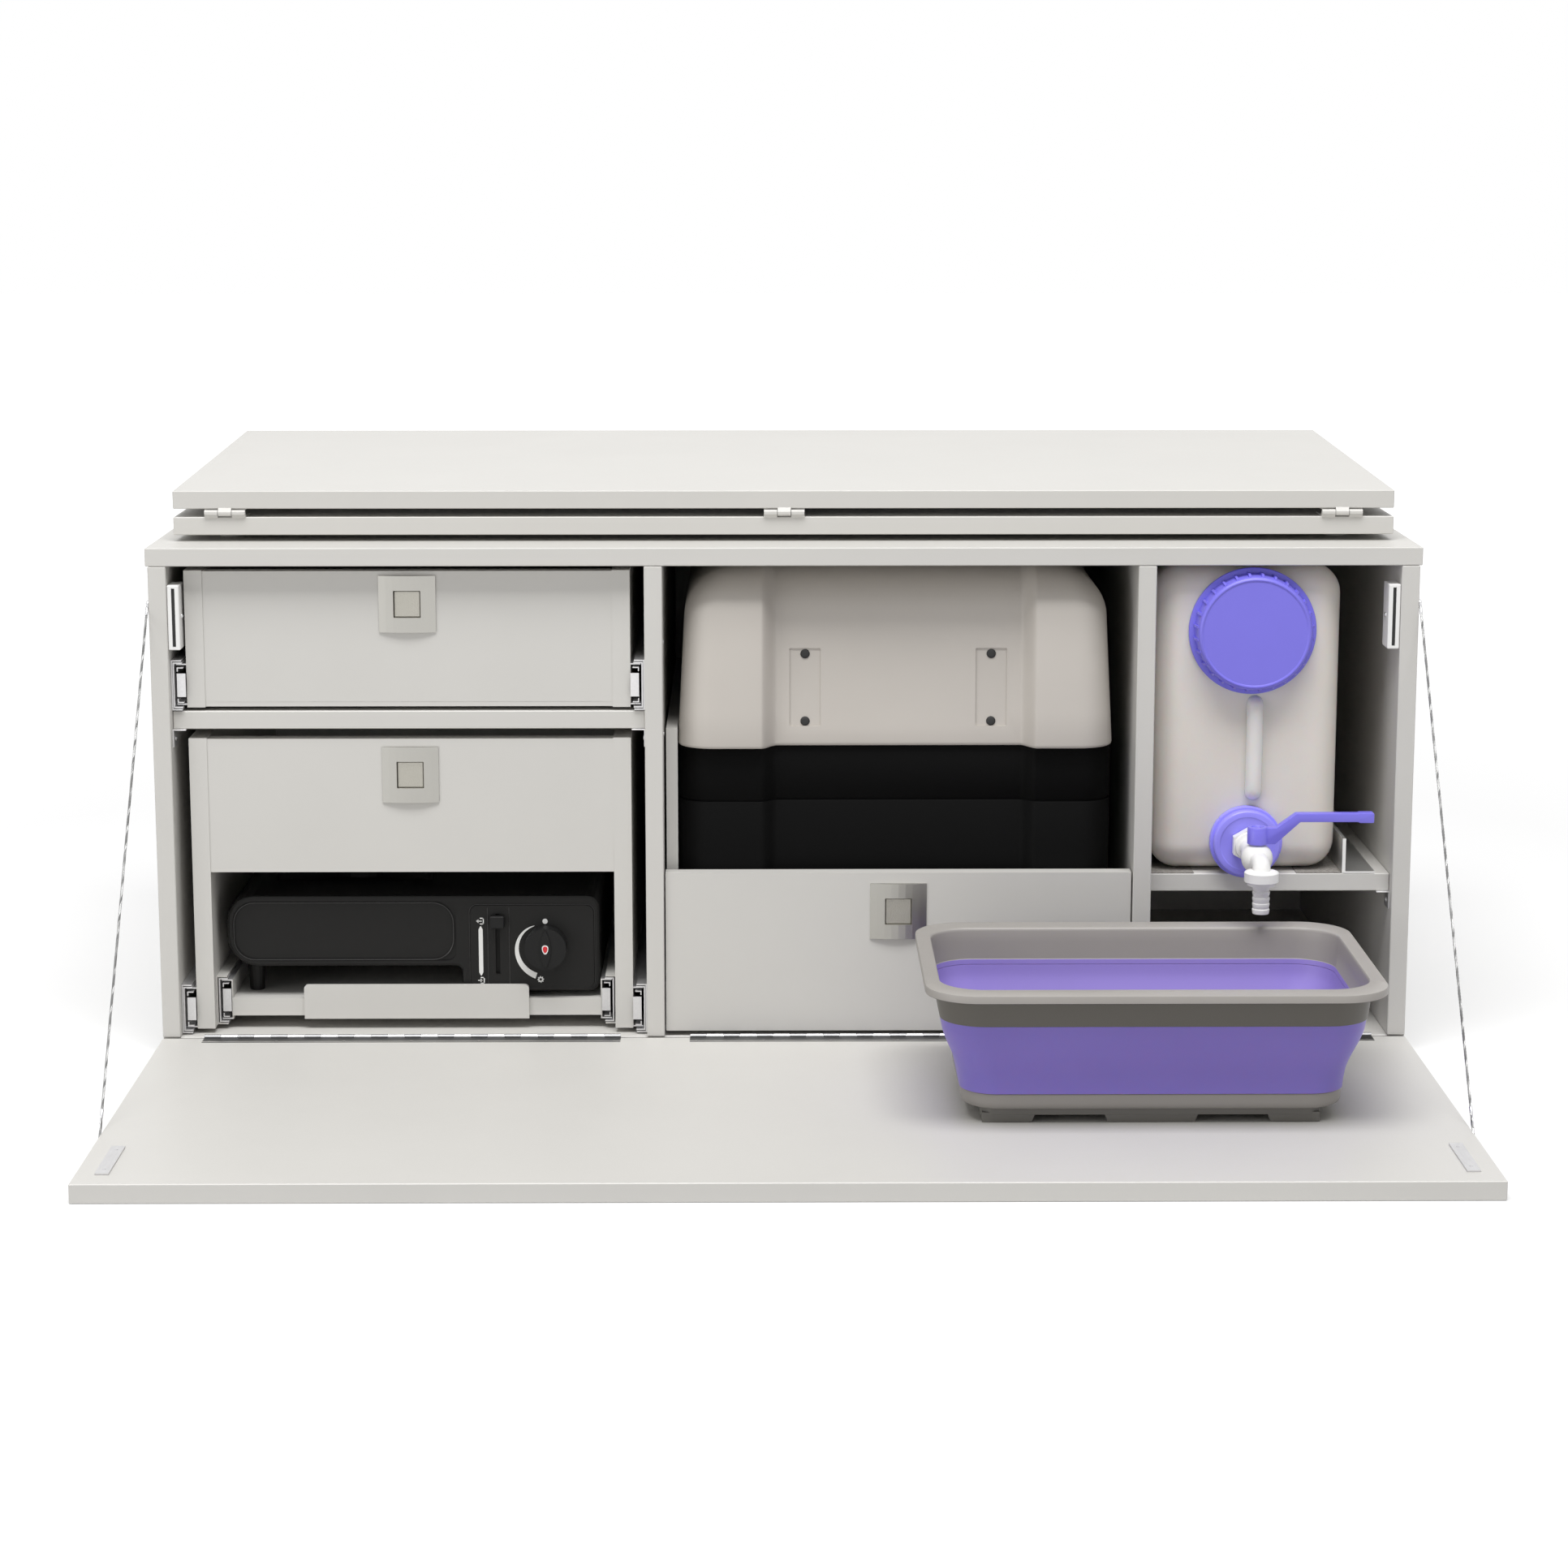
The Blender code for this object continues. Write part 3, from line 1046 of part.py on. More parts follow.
def water_can():
    """Upright can with rounded edges, its level tube with bent ends, and the threaded neck."""
    can = box("water_can", CAN_X, (CAN_FRONT, CAN_REAR), (CAN_BOTTOM, CAN_TOP))
    bevel(can, CAN_R, 5)
    x, low, high = LEVEL_TUBE
    y = CAN_FRONT - TUBE_PROUD
    join(can, cylinder("level tube", "z", (x, y), TUBE_R, low, high, 16))
    join(can, ball("tube foot", (x, y, low), TUBE_R, 8, 16), ball("tube head", (x, y, high), TUBE_R, 8, 16))
    join(can, cylinder("neck", "y", CAP_CENTRE, NECK_R, CAN_FRONT - NECK_L, CAN_FRONT + BITE, 32))
    finish(smooth(can), "can plastic")


def can_cap():
    """Screw cap: flange ring, ribbed skirt with a small draft and a rounded face."""
    seat = CAN_FRONT - SEAT
    front = seat - CAP_T
    cap = cylinder("can_cap", "y", CAP_CENTRE, CAP_R, front + CAP_ROUND, seat, 48, CAP_R - CAP_DRAFT)
    join(cap, cylinder(
        "cap face", "y", CAP_CENTRE, CAP_R - CAP_DRAFT, front, front + CAP_ROUND + BITE / 2, 48,
        CAP_R - CAP_DRAFT - CAP_ROUND,
    ))
    join(cap, cylinder("cap flange", "y", CAP_CENTRE, CAP_RING_R, seat - CAP_RING_T, seat, 48))
    width, proud = CAP_RIB
    place = Matrix.Translation((CAP_CENTRE[0], 0, CAP_CENTRE[1]))
    for index in range(CAP_RIBS):
        rib = box(
            "cap rib", (CAP_R - 2 * CAP_DRAFT, CAP_R + proud), (front + 2 * CAP_ROUND, seat - CAP_RING_T / 2),
            (-width / 2, width / 2),
        )
        rib.matrix_world = place @ Matrix.Rotation(2 * math.pi * index / CAP_RIBS, 4, "Y")
        join(cap, rib)
    bore = NECK_R + 2 * SEAT
    cut(cap, cylinder("neck bore", "y", CAP_CENTRE, bore, seat - NECK_L - SEAT, seat + OVERRUN, 32))
    return finish(smooth(cap), "violet plastic")


def tap():
    """Ball tap: collar on the can, shaft, hexagon, ball, spout with its nut and barb, and the lever."""
    centre = (TAP_X, TAP_Z)
    seat = CAN_FRONT - SEAT
    collar = cylinder("tap_collar", "y", centre, COLLAR_R, seat - COLLAR_FLANGE_T, seat, 40)
    join(collar, cylinder(
        "collar face", "y", centre, COLLAR_FACE_R - BITE, seat - COLLAR_T, seat - COLLAR_FLANGE_T + BITE, 40,
        COLLAR_FACE_R,
    ))
    bore = TAP_SHAFT_R + SEAT
    cut(collar, cylinder("collar bore", "y", centre, bore, seat - COLLAR_T - OVERRUN, seat + OVERRUN, 24))
    finish(smooth(collar), "violet plastic")
    front = seat - COLLAR_T - SEAT
    ball_y = CAN_FRONT - TAP_BALL_OUT
    spout_y = CAN_FRONT - SPOUT_OUT
    body = cylinder("tap_body", "y", centre, TAP_SHAFT_R, ball_y, seat - BITE, 20)
    join(body, cylinder("tap hexagon", "y", centre, TAP_HEX, front - TAP_HEX_T, front, 6))
    join(body, cylinder("tap outlet", "y", centre, SPOUT_R + BITE / 4, spout_y, ball_y, 20))
    join(body, ball("tap ball", (TAP_X, ball_y, TAP_Z), TAP_BALL_R, 12, 20))
    join(body, ball("spout elbow", (TAP_X, spout_y, TAP_Z), SPOUT_R + BITE / 2, 10, 20))
    spout = (TAP_X, spout_y)
    drop, tall, cone = SPOUT_NUT
    top = TAP_Z - drop
    bottom = top - tall
    join(body, cylinder("spout", "z", spout, SPOUT_R, top - BITE, TAP_Z, 20))
    join(body, cylinder("spout nut", "z", spout, SPOUT_NUT_R, bottom, top, 24))
    foot = bottom - cone
    join(body, cylinder("nut cone", "z", spout, SPOUT_NUT_R - cone, foot, bottom + BITE / 2, 24, SPOUT_NUT_R))
    tip = TAP_Z - BARB_DROP
    join(body, cylinder("barb", "z", spout, BARB_R * BARB_CORE_SHARE, tip, foot + BITE, 16))
    pitch = (foot - tip) / BARB_RINGS
    core = BARB_R * BARB_CORE_SHARE + BITE / 4
    for index in range(BARB_RINGS):
        low = tip + index * pitch
        high = low + pitch * BARB_RING_SHARE
        join(body, cylinder("barb ring", "z", spout, core, low + SEAT, high, 16, BARB_R))
    stem = (TAP_X, ball_y)
    join(body, cylinder("tap stem", "z", stem, TAP_STEM_R, TAP_Z, TAP_Z + TAP_STEM_H, 16))
    finish(smooth(body), "white plastic")
    low, high = TAP_Z + HUB_H[0], TAP_Z + HUB_H[1]
    hub = cylinder("tap_lever", "z", stem, HUB_R, low, high, 24)
    root, rise, raised = LEVER_ROOT
    tip, (block, extra) = TAP_X + LEVER_LONG, LEVER_TIP
    top, under = TAP_Z + raised, TAP_Z + raised - LEVER_T
    outline = [
        (TAP_X + BITE, low + BITE / 2), (TAP_X + root, low + BITE / 2), (TAP_X + LEVER_BEND[1], under),
        (tip - block, under), (tip - block, under - extra), (tip - LEVER_CUT, under - extra),
        (tip, under - extra + LEVER_CUT), (tip, top - LEVER_CUT), (tip - LEVER_CUT, top),
        (TAP_X + LEVER_BEND[0], top), (TAP_X + rise, high - BITE / 2),
        (TAP_X + BITE, high - BITE / 2),
    ]
    join(hub, plate("lever arm", outline, "y", ball_y - LEVER_W / 2, ball_y + LEVER_W / 2))
    cut(hub, cylinder("stem bore", "z", stem, TAP_STEM_R + SEAT, 0, TAP_Z + TAP_STEM_H + SEAT, 16))
    finish(smooth(hub), "violet plastic")


def can_guide():
    """Angle profile that keeps the can from sliding across its shelf."""
    foot = WATER_SHELF[1] + SEAT
    web, flange = GUIDE_X + GUIDE_SHEET, GUIDE_X + GUIDE_FLANGE
    outline = [
        (GUIDE_X, foot), (flange, foot), (flange, foot + GUIDE_SHEET / 2), (web, foot + GUIDE_SHEET / 2),
        (web, foot + GUIDE_H), (GUIDE_X, foot + GUIDE_H),
    ]
    return finish(plate(
        "can_guide_profile", outline, "y", FRONT + SHELF_RECESS, INNER_BACK - GUIDE_REAR_GAP
    ), "aluminium")


def basin():
    """Folding basin: a footed base, the soft stepped wall, and the upper band with its rolled rim."""
    half = (BASIN_BASE[0] / 2, BASIN_BASE[1] / 2)
    centre = (BASIN_X, BASIN_Y)
    x = (BASIN_X - half[0], BASIN_X + half[0])
    y = (BASIN_Y - half[1], BASIN_Y + half[1])
    foot, top = BASIN_BASE_Z
    corner = BASE_ROUND * EDGE_SHARE
    rings = []
    for z, draw in ((foot, BASE_ROUND), (foot + corner, corner), (foot + BASE_ROUND, 0), (top, 0)):
        level = rounded((x[0] + draw, x[1] - draw), (y[0] + draw, y[1] - draw), BASIN_R - draw, 6)
        rings.append([(u, v, z) for u, v in level])
    base = loft("basin_base", rings)
    inset, deep = FOOT_STRIP
    join(base, plate(
        "foot strip", rounded((x[0] + inset, x[1] - inset), (y[0] + inset, y[1] - inset), BASIN_R - inset, 6),
        "z", foot - deep, foot + BITE,
    ))
    low, strip = FLOOR + SEAT, foot - deep
    for offset, width in zip(FEET_X, FOOT_W):
        middle, half_w = BASIN_X + offset, width / 2
        flared = half_w + FOOT_FLARE
        outline = [
            (middle - half_w, low), (middle + half_w, low), (middle + flared, strip),
            (middle + flared, strip + BITE), (middle - flared, strip + BITE), (middle - flared, strip),
        ]
        for row in (y[0] + inset, y[1] - inset - FOOT_D):
            join(base, plate("basin foot", outline, "y", row, row + FOOT_D))
    finish(smooth(base), "basin grey")
    wall_foot = top + SEAT
    rise = WALL_TOP - wall_foot
    outside = [(out, wall_foot + share * rise) for out, share in WALL_STEPS]
    inside = [(out - WALL_T, height) for out, height in reversed(outside)]
    finish(smooth(swept_ring("basin_wall", outside + inside, half, BASIN_R, centre), 1), "violet silicone")
    band_foot = WALL_TOP + SEAT
    top_out = BAND_OUT + BAND_LEAN
    profile = [
        (BAND_OUT, band_foot), (top_out, RIM_TOP - 2 * BAND_T), (RIM_OUT - BAND_T, RIM_TOP - 2 * BAND_T),
        (RIM_OUT - BAND_T, RIM_TOP - RIM_LIP), (RIM_OUT, RIM_TOP - RIM_LIP), (RIM_OUT, RIM_TOP - BITE),
        (RIM_OUT - BITE, RIM_TOP), (top_out - BAND_T + BITE, RIM_TOP), (top_out - BAND_T, RIM_TOP - BITE),
        (BAND_OUT - BAND_T, band_foot),
    ]
    return finish(smooth(swept_ring("basin_rim", profile, half, BASIN_R, centre)), "basin grey")


def main():
    clear_scene()
    cabinet_boards()
    flap()
    catches_and_strikes()
    stay_cable("left_stay_cable", -1)
    stay_cable("right_stay_cable", 1)
    top_and_bed()
    upper_drawer()
    cooker_box()
    cooker_tray()
    cooker()
    fridge_pullout()
    cool_box()
    can_guide()
    water_can()
    can_cap()
    tap()
    basin()


main()
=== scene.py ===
import math

import bmesh
import bpy
from mathutils import Matrix, Vector


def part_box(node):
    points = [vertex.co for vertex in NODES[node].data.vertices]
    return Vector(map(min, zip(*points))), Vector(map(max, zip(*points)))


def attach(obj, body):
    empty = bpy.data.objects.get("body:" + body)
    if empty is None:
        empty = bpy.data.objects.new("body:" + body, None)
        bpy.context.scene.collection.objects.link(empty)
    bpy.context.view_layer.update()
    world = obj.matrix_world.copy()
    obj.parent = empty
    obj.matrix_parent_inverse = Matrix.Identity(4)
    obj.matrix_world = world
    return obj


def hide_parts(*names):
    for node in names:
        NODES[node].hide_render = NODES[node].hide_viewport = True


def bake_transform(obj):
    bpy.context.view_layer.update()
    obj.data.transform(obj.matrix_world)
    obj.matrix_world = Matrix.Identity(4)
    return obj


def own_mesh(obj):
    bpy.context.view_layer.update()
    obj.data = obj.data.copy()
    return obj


# Looks of a campervan kitchen module. Every length is in metres, in the frame of the solids:
# +Z up, the front towards -Y, the origin at the centre of the cabinet's underside.
# Outlines and profiles are tables of points, measured on the photograph.

MM = 0.001
FRONT = -0.26
BOARD = 0.016
FLAP_TOP = 0.016


def corner(node, high, axis):
    """One coordinate of a node's low or high corner."""
    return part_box(node)[high][axis]


def middle(node, axis):
    """The middle of a node's box along an axis."""
    return (corner(node, 0, axis) + corner(node, 1, axis)) / 2


def new_object(name, data):
    obj = bpy.data.objects.new(name, data)
    bpy.context.scene.collection.objects.link(obj)
    return obj


# Materials

def new_node(tree, kind, *sources, **values):
    """A node whose first sockets are fed by sources and whose named sockets have values."""
    node = tree.nodes.new("ShaderNode" + kind)
    for source, socket in zip(sources, node.inputs):
        tree.links.new(source, socket)
    for name, value in values.items():
        node.inputs[name].default_value = value
    return node


def noise(tree, scale, detail, stretch):
    """Noise over the piece's own coordinates, which ride with it; scale is in waves per metre."""
    coords = new_node(tree, "TexCoord")
    mapping = new_node(tree, "Mapping", coords.outputs["Object"], Scale=stretch)
    made = new_node(tree, "TexNoise", mapping.outputs["Vector"], Scale=scale, Detail=detail, Roughness=0.6)
    return made.outputs["Fac"]


def ramp(tree, source, low, high):
    """Turns a 0 to 1 value into a blend between two colours."""
    made = new_node(tree, "ValToRGB", source)
    for element, place, value in zip(made.color_ramp.elements, (0.3, 0.7), (low, high)):
        element.position = place
        element.color = (*value, 1)
    return made.outputs["Color"]


GLOSS_SPREAD = 0.05


def material(name, colour, roughness, metallic, grain, grain_height, spread=0.03, patch=9.0,
             stretch=(1, 1, 1), sockets=()):
    """A surface with large soft colour patches, a fine grain in its relief and an uneven gloss.

    spread is the colour's share up and down, patch and grain are in waves per metre, and
    grain_height is in millimetres."""
    made = bpy.data.materials.new(name)
    made.use_nodes = True
    tree = made.node_tree
    shader = tree.nodes["Principled BSDF"]
    shader.inputs["Metallic"].default_value = metallic
    for socket, value in sockets:
        shader.inputs[socket].default_value = value
    low, high = ([min(1.0, channel * share) for channel in colour] for share in (1 - spread, 1 + spread))
    tint = ramp(tree, noise(tree, patch, 5.0, stretch), low, high)
    fine = noise(tree, grain, 3.0, stretch)
    gloss = ramp(tree, fine, (roughness - GLOSS_SPREAD,) * 3, (roughness + GLOSS_SPREAD,) * 3)
    relief = new_node(tree, "Bump", Strength=1.0, Distance=grain_height * MM)
    tree.links.new(fine, relief.inputs["Height"])
    for source, socket in ((tint, "Base Color"), (gloss, "Roughness"), (relief.outputs["Normal"], "Normal")):
        tree.links.new(source, shader.inputs[socket])
    return made


MATTE_BLACK = (("Specular IOR Level", 0.22),)
LIGHTLESS_BLACK = (("Specular IOR Level", 0.06),)
CAN_DEPTH = (("Subsurface Weight", 0.25), ("Subsurface Scale", 0.01))
TUBE_DEPTH = (("Subsurface Weight", 0.4), ("Subsurface Scale", 0.006))
SILICONE_DEPTH = (("Subsurface Weight", 0.3), ("Subsurface Scale", 0.01))
ALONG_X, ALONG_Y = (1, 8, 8), (8, 1, 8)

# name: (colour, roughness, metallic, grain, grain height, other values of material)
LOOK_TABLE = {
    "board": ((0.612, 0.599, 0.570), 0.44, 0, 900, 0.02, dict(spread=0.012)),
    "nickel": ((0.43, 0.42, 0.39), 0.34, 1, 2500, 0.012, {}),
    "nickel_rough": ((0.43, 0.415, 0.37), 0.42, 1, 1100, 0.3, {}),
    "steel": ((0.68, 0.68, 0.69), 0.26, 1, 1600, 0.01, dict(stretch=ALONG_X)),
    # painted reflection: one hinge steel in a darker and a lighter copy for the two leaves; the darker copy
    # also paints shade on the flap leaf's strips
    "hinge_dark_painted_reflection_and_shade": ((0.17, 0.17, 0.172), 0.38, 1, 1600, 0.01, dict(stretch=ALONG_X)),
    "hinge_light_painted_reflection": ((0.36, 0.36, 0.362), 0.38, 1, 1600, 0.01, dict(stretch=ALONG_X)),
    "zinc": ((0.70, 0.695, 0.70), 0.42, 0.85, 1500, 0.01, dict(spread=0.05, patch=60, stretch=ALONG_Y)),
    "aluminium": ((0.74, 0.735, 0.72), 0.38, 0.9, 1800, 0.01, dict(stretch=ALONG_Y)),
    "cable": ((0.27, 0.27, 0.268), 0.42, 1, 3000, 0.02, {}),
    "white_plastic": ((0.86, 0.855, 0.84), 0.36, 0, 900, 0.01, {}),
    "black_plastic": ((0.010, 0.010, 0.010), 0.5, 0, 1200, 0.03, dict(sockets=MATTE_BLACK)),
    "enamel": ((0.011, 0.0107, 0.0102), 0.46, 0, 1400, 0.05, dict(spread=0.06, sockets=MATTE_BLACK)),
    "enamel_gloss": ((0.016, 0.0155, 0.015), 0.30, 0, 1400, 0.01, {}),
    "cooler_light": ((0.545, 0.510, 0.468), 0.5, 0, 1100, 0.03, dict(spread=0.015)),
    "cooler_dark": ((0.0030, 0.0030, 0.0030), 0.6, 0, 1100, 0.03, dict(spread=0.05, sockets=LIGHTLESS_BLACK)),
    "can": ((0.75, 0.705, 0.65), 0.42, 0, 500, 0.05, dict(spread=0.02, patch=12, sockets=CAN_DEPTH)),
    "tube": ((0.74, 0.73, 0.71), 0.2, 0, 500, 0.01, dict(sockets=TUBE_DEPTH)),
    "violet": ((0.200, 0.175, 0.760), 0.34, 0, 1500, 0.008, {}),
    "violet_light": ((0.315, 0.284, 0.960), 0.36, 0, 1500, 0.008, {}),
    "silicone": ((0.205, 0.160, 0.560), 0.42, 0, 1000, 0.01, dict(spread=0.02, sockets=SILICONE_DEPTH)),
    "silicone_inner": ((0.300, 0.230, 0.640), 0.42, 0, 1000, 0.01, dict(spread=0.02)),
    "basin_grey": ((0.325, 0.305, 0.286), 0.45, 0, 1200, 0.015, {}),
    "basin_grey_base": ((0.275, 0.258, 0.240), 0.45, 0, 1200, 0.015, {}),
    # painted light: a lighter grey for the rim's upward faces, as if lit from above
    "basin_grey_painted_light": ((0.375, 0.355, 0.333), 0.42, 0, 1200, 0.015, {}),
    # painted shade: a darker grey for the feet in the shade under the base
    "basin_grey_feet_painted_shade": ((0.150, 0.143, 0.130), 0.5, 0, 1200, 0.015, {}),
    # painted shade: a darker grey for the outer band under the rim's overhang
    "basin_grey_painted_shade": ((0.115, 0.107, 0.093), 0.5, 0, 1200, 0.015, {}),
    "mat": ((0.25, 0.235, 0.215), 0.85, 0, 600, 0.5, dict(spread=0.35, patch=420)),
    "mark_white": ((0.80, 0.80, 0.78), 0.5, 0, 700, 0.02, {}),
    "mark_red": ((0.62, 0.02, 0.03), 0.4, 0, 700, 0.02, {}),
    "rubber": ((0.02, 0.02, 0.02), 0.7, 0, 700, 0.02, {}),
}


# Looks of the solids

SHARP = math.radians(38)
# look of every solid whose name ends so
ENDINGS = {
    "board": ("_panel", "_partition", "_shelf", "_bed_board"),
    # painted reflection: the base leaves get the darker copy of the hinge steel, the flap leaves the lighter
    # one
    "hinge_dark_painted_reflection_and_shade": ("_base_hinge_leaf",),
    "hinge_light_painted_reflection": ("_flap_hinge_leaf",),
    "cable": ("_stay_cable",),
    "aluminium": ("can_guide_profile",),
    "nickel": ("_lock_plate",),
    "nickel_rough": ("_lock_button",),
    "zinc": ("_rail", "_slide", "_strike_plate"),
    "white_plastic": ("_magnet_catch", "tap_body"),
    "enamel": ("cooker_body",),
    "black_plastic": ("cooker_knob", "cooker_lever"),
    "cooler_dark": ("cooler_body",),
    "cooler_light": ("cooler_shell",),
    "can": ("water_can",),
    "violet": ("can_cap", "tap_collar", "tap_lever"),
    "basin_grey": ("basin_base", "basin_rim"),
    "silicone": ("basin_wall",),
}
# body, solid and slides of everything that runs on slides
RUNNERS = (
    ("upper_drawer", "upper_drawer_box", ("upper_left_slide", "upper_right_slide")),
    ("cooker_box", "cooker_box_frame", ("cooker_left_slide", "cooker_right_slide")),
    ("cool_box_pullout", "fridge_drawer", ("fridge_left_slide", "fridge_right_slide")),
    ("tray", "cooker_tray", ("tray_left_slide", "tray_right_slide")),
)
TOP_LEAF_FROM = 0.0005
INNER_SLIDE_WITHIN = 0.0025


def painted(obj, look, sharp=SHARP):
    """Gives an object one material, and smooth faces between its sharp edges."""
    obj.data.materials.clear()
    obj.data.materials.append(LOOKS[look])
    for face in obj.data.polygons:
        face.material_index = 0
    obj.data.shade_smooth()
    obj.data.set_sharp_from_angle(angle=sharp)
    return obj


def second(obj, look, test):
    """Gives the faces that pass a test another material."""
    obj.data.materials.append(LOOKS[look])
    for face in obj.data.polygons:
        if test(face):
            face.material_index = len(obj.data.materials) - 1


def dress_solids():
    """Gives each solid its look, and metal to the leaves and slide members that share a board's solid."""
    for node, obj in NODES.items():
        for look, endings in ENDINGS.items():
            if node.endswith(endings):
                painted(obj, look)
    top = corner("left_side_panel", 1, 2) + BOARD + TOP_LEAF_FROM
    second(NODES["top_panel"], "steel", lambda face: face.center.z > top)
    for _, node, slides in RUNNERS:
        left = corner(slides[0], 1, 0) + INNER_SLIDE_WITHIN
        right = corner(slides[1], 0, 0) - INNER_SLIDE_WITHIN
        low, high = corner(slides[0], 0, 2) - MM, corner(slides[0], 1, 2) + MM
        second(painted(NODES[node], "board"), "zinc", lambda face: (
            low < face.center.z < high and not left <= face.center.x <= right))


# Shape helpers

def merged(*parts):
    """Joins several (verts, faces) shapes into one."""
    verts, faces = [], []
    for own_verts, own_faces in parts:
        start = len(verts)
        verts += own_verts
        faces += [tuple(start + i for i in face) for face in own_faces]
    return verts, faces


def loft(rings, ring_closed=False):
    """Faces through rings of equally many points; closed by flat ends, or on itself."""
    count = len(rings[0])
    verts = [tuple(point) for ring in rings for point in ring]
    pairs = [(i, i + 1) for i in range(len(rings) - 1)]
    if ring_closed:
        pairs.append((len(rings) - 1, 0))
    faces = [
        (a * count + j, a * count + (j + 1) % count, b * count + (j + 1) % count, b * count + j)
        for a, b in pairs for j in range(count)
    ]
    if not ring_closed:
        faces.append(tuple(range(count - 1, -1, -1)))
        faces.append(tuple(range(len(verts) - count, len(verts))))
    return verts, faces


def on_axis(axis, centre, u, v, along):
    """A point at (u, v) across and along an axis, which runs through centre."""
    if axis == "z":
        return (centre[0] + u, centre[1] + v, along)
    if axis == "y":
        return (centre[0] + u, along, centre[1] + v)
    return (along, centre[0] + u, centre[1] + v)


def turned(profile, axis, centre, steps=48, wave=None):
    """A profile of (radius, place along the axis) turned about an axis along x, y or z."""
    rings = []
    for radius, along in profile:
        ring = []
        for step in range(steps):
            angle = 2 * math.pi * step / steps
            own = radius * (wave(angle) if wave else 1)
            ring.append(on_axis(axis, centre, own * math.cos(angle), own * math.sin(angle), along))
        rings.append(ring)
    return loft(rings)


def eased(low, high, edge, radius, steps=3):
    """A profile of one disc between two places on its axis, with both edges rounded."""
    profile = []
    for place, way in ((low, 1), (high, -1)):
        for step in range(steps + 1)[::way]:
            angle = step / steps * math.pi / 2
            drawn = edge * (1 - math.sin(angle))
            profile.append((radius - drawn, place + way * edge * (1 - math.cos(angle))))
    return profile


def plate(outline, axis, low, high):
    """An outline in the two other axes, drawn out along an axis."""
    return loft([[on_axis(axis, (0, 0), u, v, place) for u, v in outline] for place in (low, high)])


def rounded(u, v, radius, steps=6):
    """A rectangle between the low and high u and v, with rounded corners."""
    outline = []
    for index, (corner_u, corner_v, way_u, way_v) in enumerate((
        (u[0], v[0], 1, 1), (u[1], v[0], -1, 1), (u[1], v[1], -1, -1), (u[0], v[1], 1, -1),
    )):
        for step in range(steps + 1):
            angle = math.pi + (index + step / steps) * math.pi / 2
            outline.append((
                corner_u + way_u * radius + radius * math.cos(angle),
                corner_v + way_v * radius + radius * math.sin(angle),
            ))
    return outline


def box_outline(u, v):
    """A rectangle between two values of u and of v, given in any order."""
    u, v = sorted(u), sorted(v)
    return [(u[0], v[0]), (u[1], v[0]), (u[1], v[1]), (u[0], v[1])]


def spline(points, steps=6):
    """A smooth curve through points of any dimension."""
    ends = [points[0]] + list(points) + [points[-1]]
    curve = []
    for i in range(1, len(ends) - 2):
        p0, p1, p2, p3 = ends[i - 1:i + 3]
        for step in range(steps):
            t = step / steps
            curve.append(tuple(
                0.5 * (2 * b + (c - a) * t + (2 * a - 5 * b + 4 * c - d) * t * t
                       + (3 * b - a - 3 * c + d) * t ** 3)
                for a, b, c, d in zip(p0, p1, p2, p3)
            ))
    curve.append(tuple(points[-1]))
    return curve


def tube(path, radius, sides=12):
    """A round bar along a path of points; radius may be a list, one number for each point."""
    path = [Vector(point) for point in path]
    radii = radius if isinstance(radius, list) else [radius] * len(path)
    side = None
    rings = []
    for i, point in enumerate(path):
        ahead = (path[min(i + 1, len(path) - 1)] - path[max(i - 1, 0)]).normalized()
        if side is None:
            side = ahead.orthogonal().normalized()
        side = (side - ahead * side.dot(ahead)).normalized()
        up = ahead.cross(side)
        rings.append([
            tuple(point + radii[i] * (math.cos(a) * side + math.sin(a) * up))
            for a in (2 * math.pi * step / sides for step in range(sides))
        ])
    return loft(rings)


def moved(shape, matrix):
    """A shape with every point moved by a matrix."""
    return [tuple(matrix @ Vector(vert)) for vert in shape[0]], shape[1]


def applied(obj):
    """Turns an object's modifiers into its mesh."""
    graph = bpy.context.evaluated_depsgraph_get()
    mesh = bpy.data.meshes.new_from_object(obj.evaluated_get(graph))
    obj.modifiers.clear()
    obj.data = mesh


EDGE_ANGLE = math.radians(35)
WELD = 0.001 * MM


def piece(name, shape, look, body, replaces=(), bevel=0.0, sharp=SHARP, cutters=()):
    """A finished piece: its mesh with outward faces, its look, its body and what it stands for."""
    mesh = bpy.data.meshes.new(name)
    mesh.from_pydata(shape[0], [], shape[1])
    work = bmesh.new()
    work.from_mesh(mesh)
    bmesh.ops.remove_doubles(work, verts=work.verts, dist=WELD)
    bmesh.ops.recalc_face_normals(work, faces=work.faces)
    work.to_mesh(mesh)
    work.free()
    obj = new_object(name, mesh)
    for cutter in cutters:
        tool = piece(name + "_cutter", cutter, look, None)
        modifier = obj.modifiers.new("cut", "BOOLEAN")
        modifier.operation = "DIFFERENCE"
        modifier.object = tool
        modifier.solver = "EXACT"
        applied(obj)
        bpy.data.objects.remove(tool)
    if bevel:
        modifier = obj.modifiers.new("edges", "BEVEL")
        modifier.width = bevel
        modifier.segments = 3
        modifier.limit_method = "ANGLE"
        modifier.angle_limit = EDGE_ANGLE
        applied(obj)
    painted(obj, look, sharp)
    if body:
        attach(obj, body)
    if replaces:
        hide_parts(*replaces)
    return obj


# (share of the radius, share of it above the face) of a domed head with a recess
SCREW_SHARES = ((1, 0), (1, 0.12), (0.86, 0.34), (0.55, 0.46), (0.30, 0.48), (0.26, 0.22))


def screw(centre, face, axis, way, radius):
    """A small screw head standing on a face; way is the outward direction."""
    profile = [(radius * across, face + way * radius * out) for across, out in SCREW_SHARES]
    return turned(profile, axis, centre, 20)


# Collapsible basin

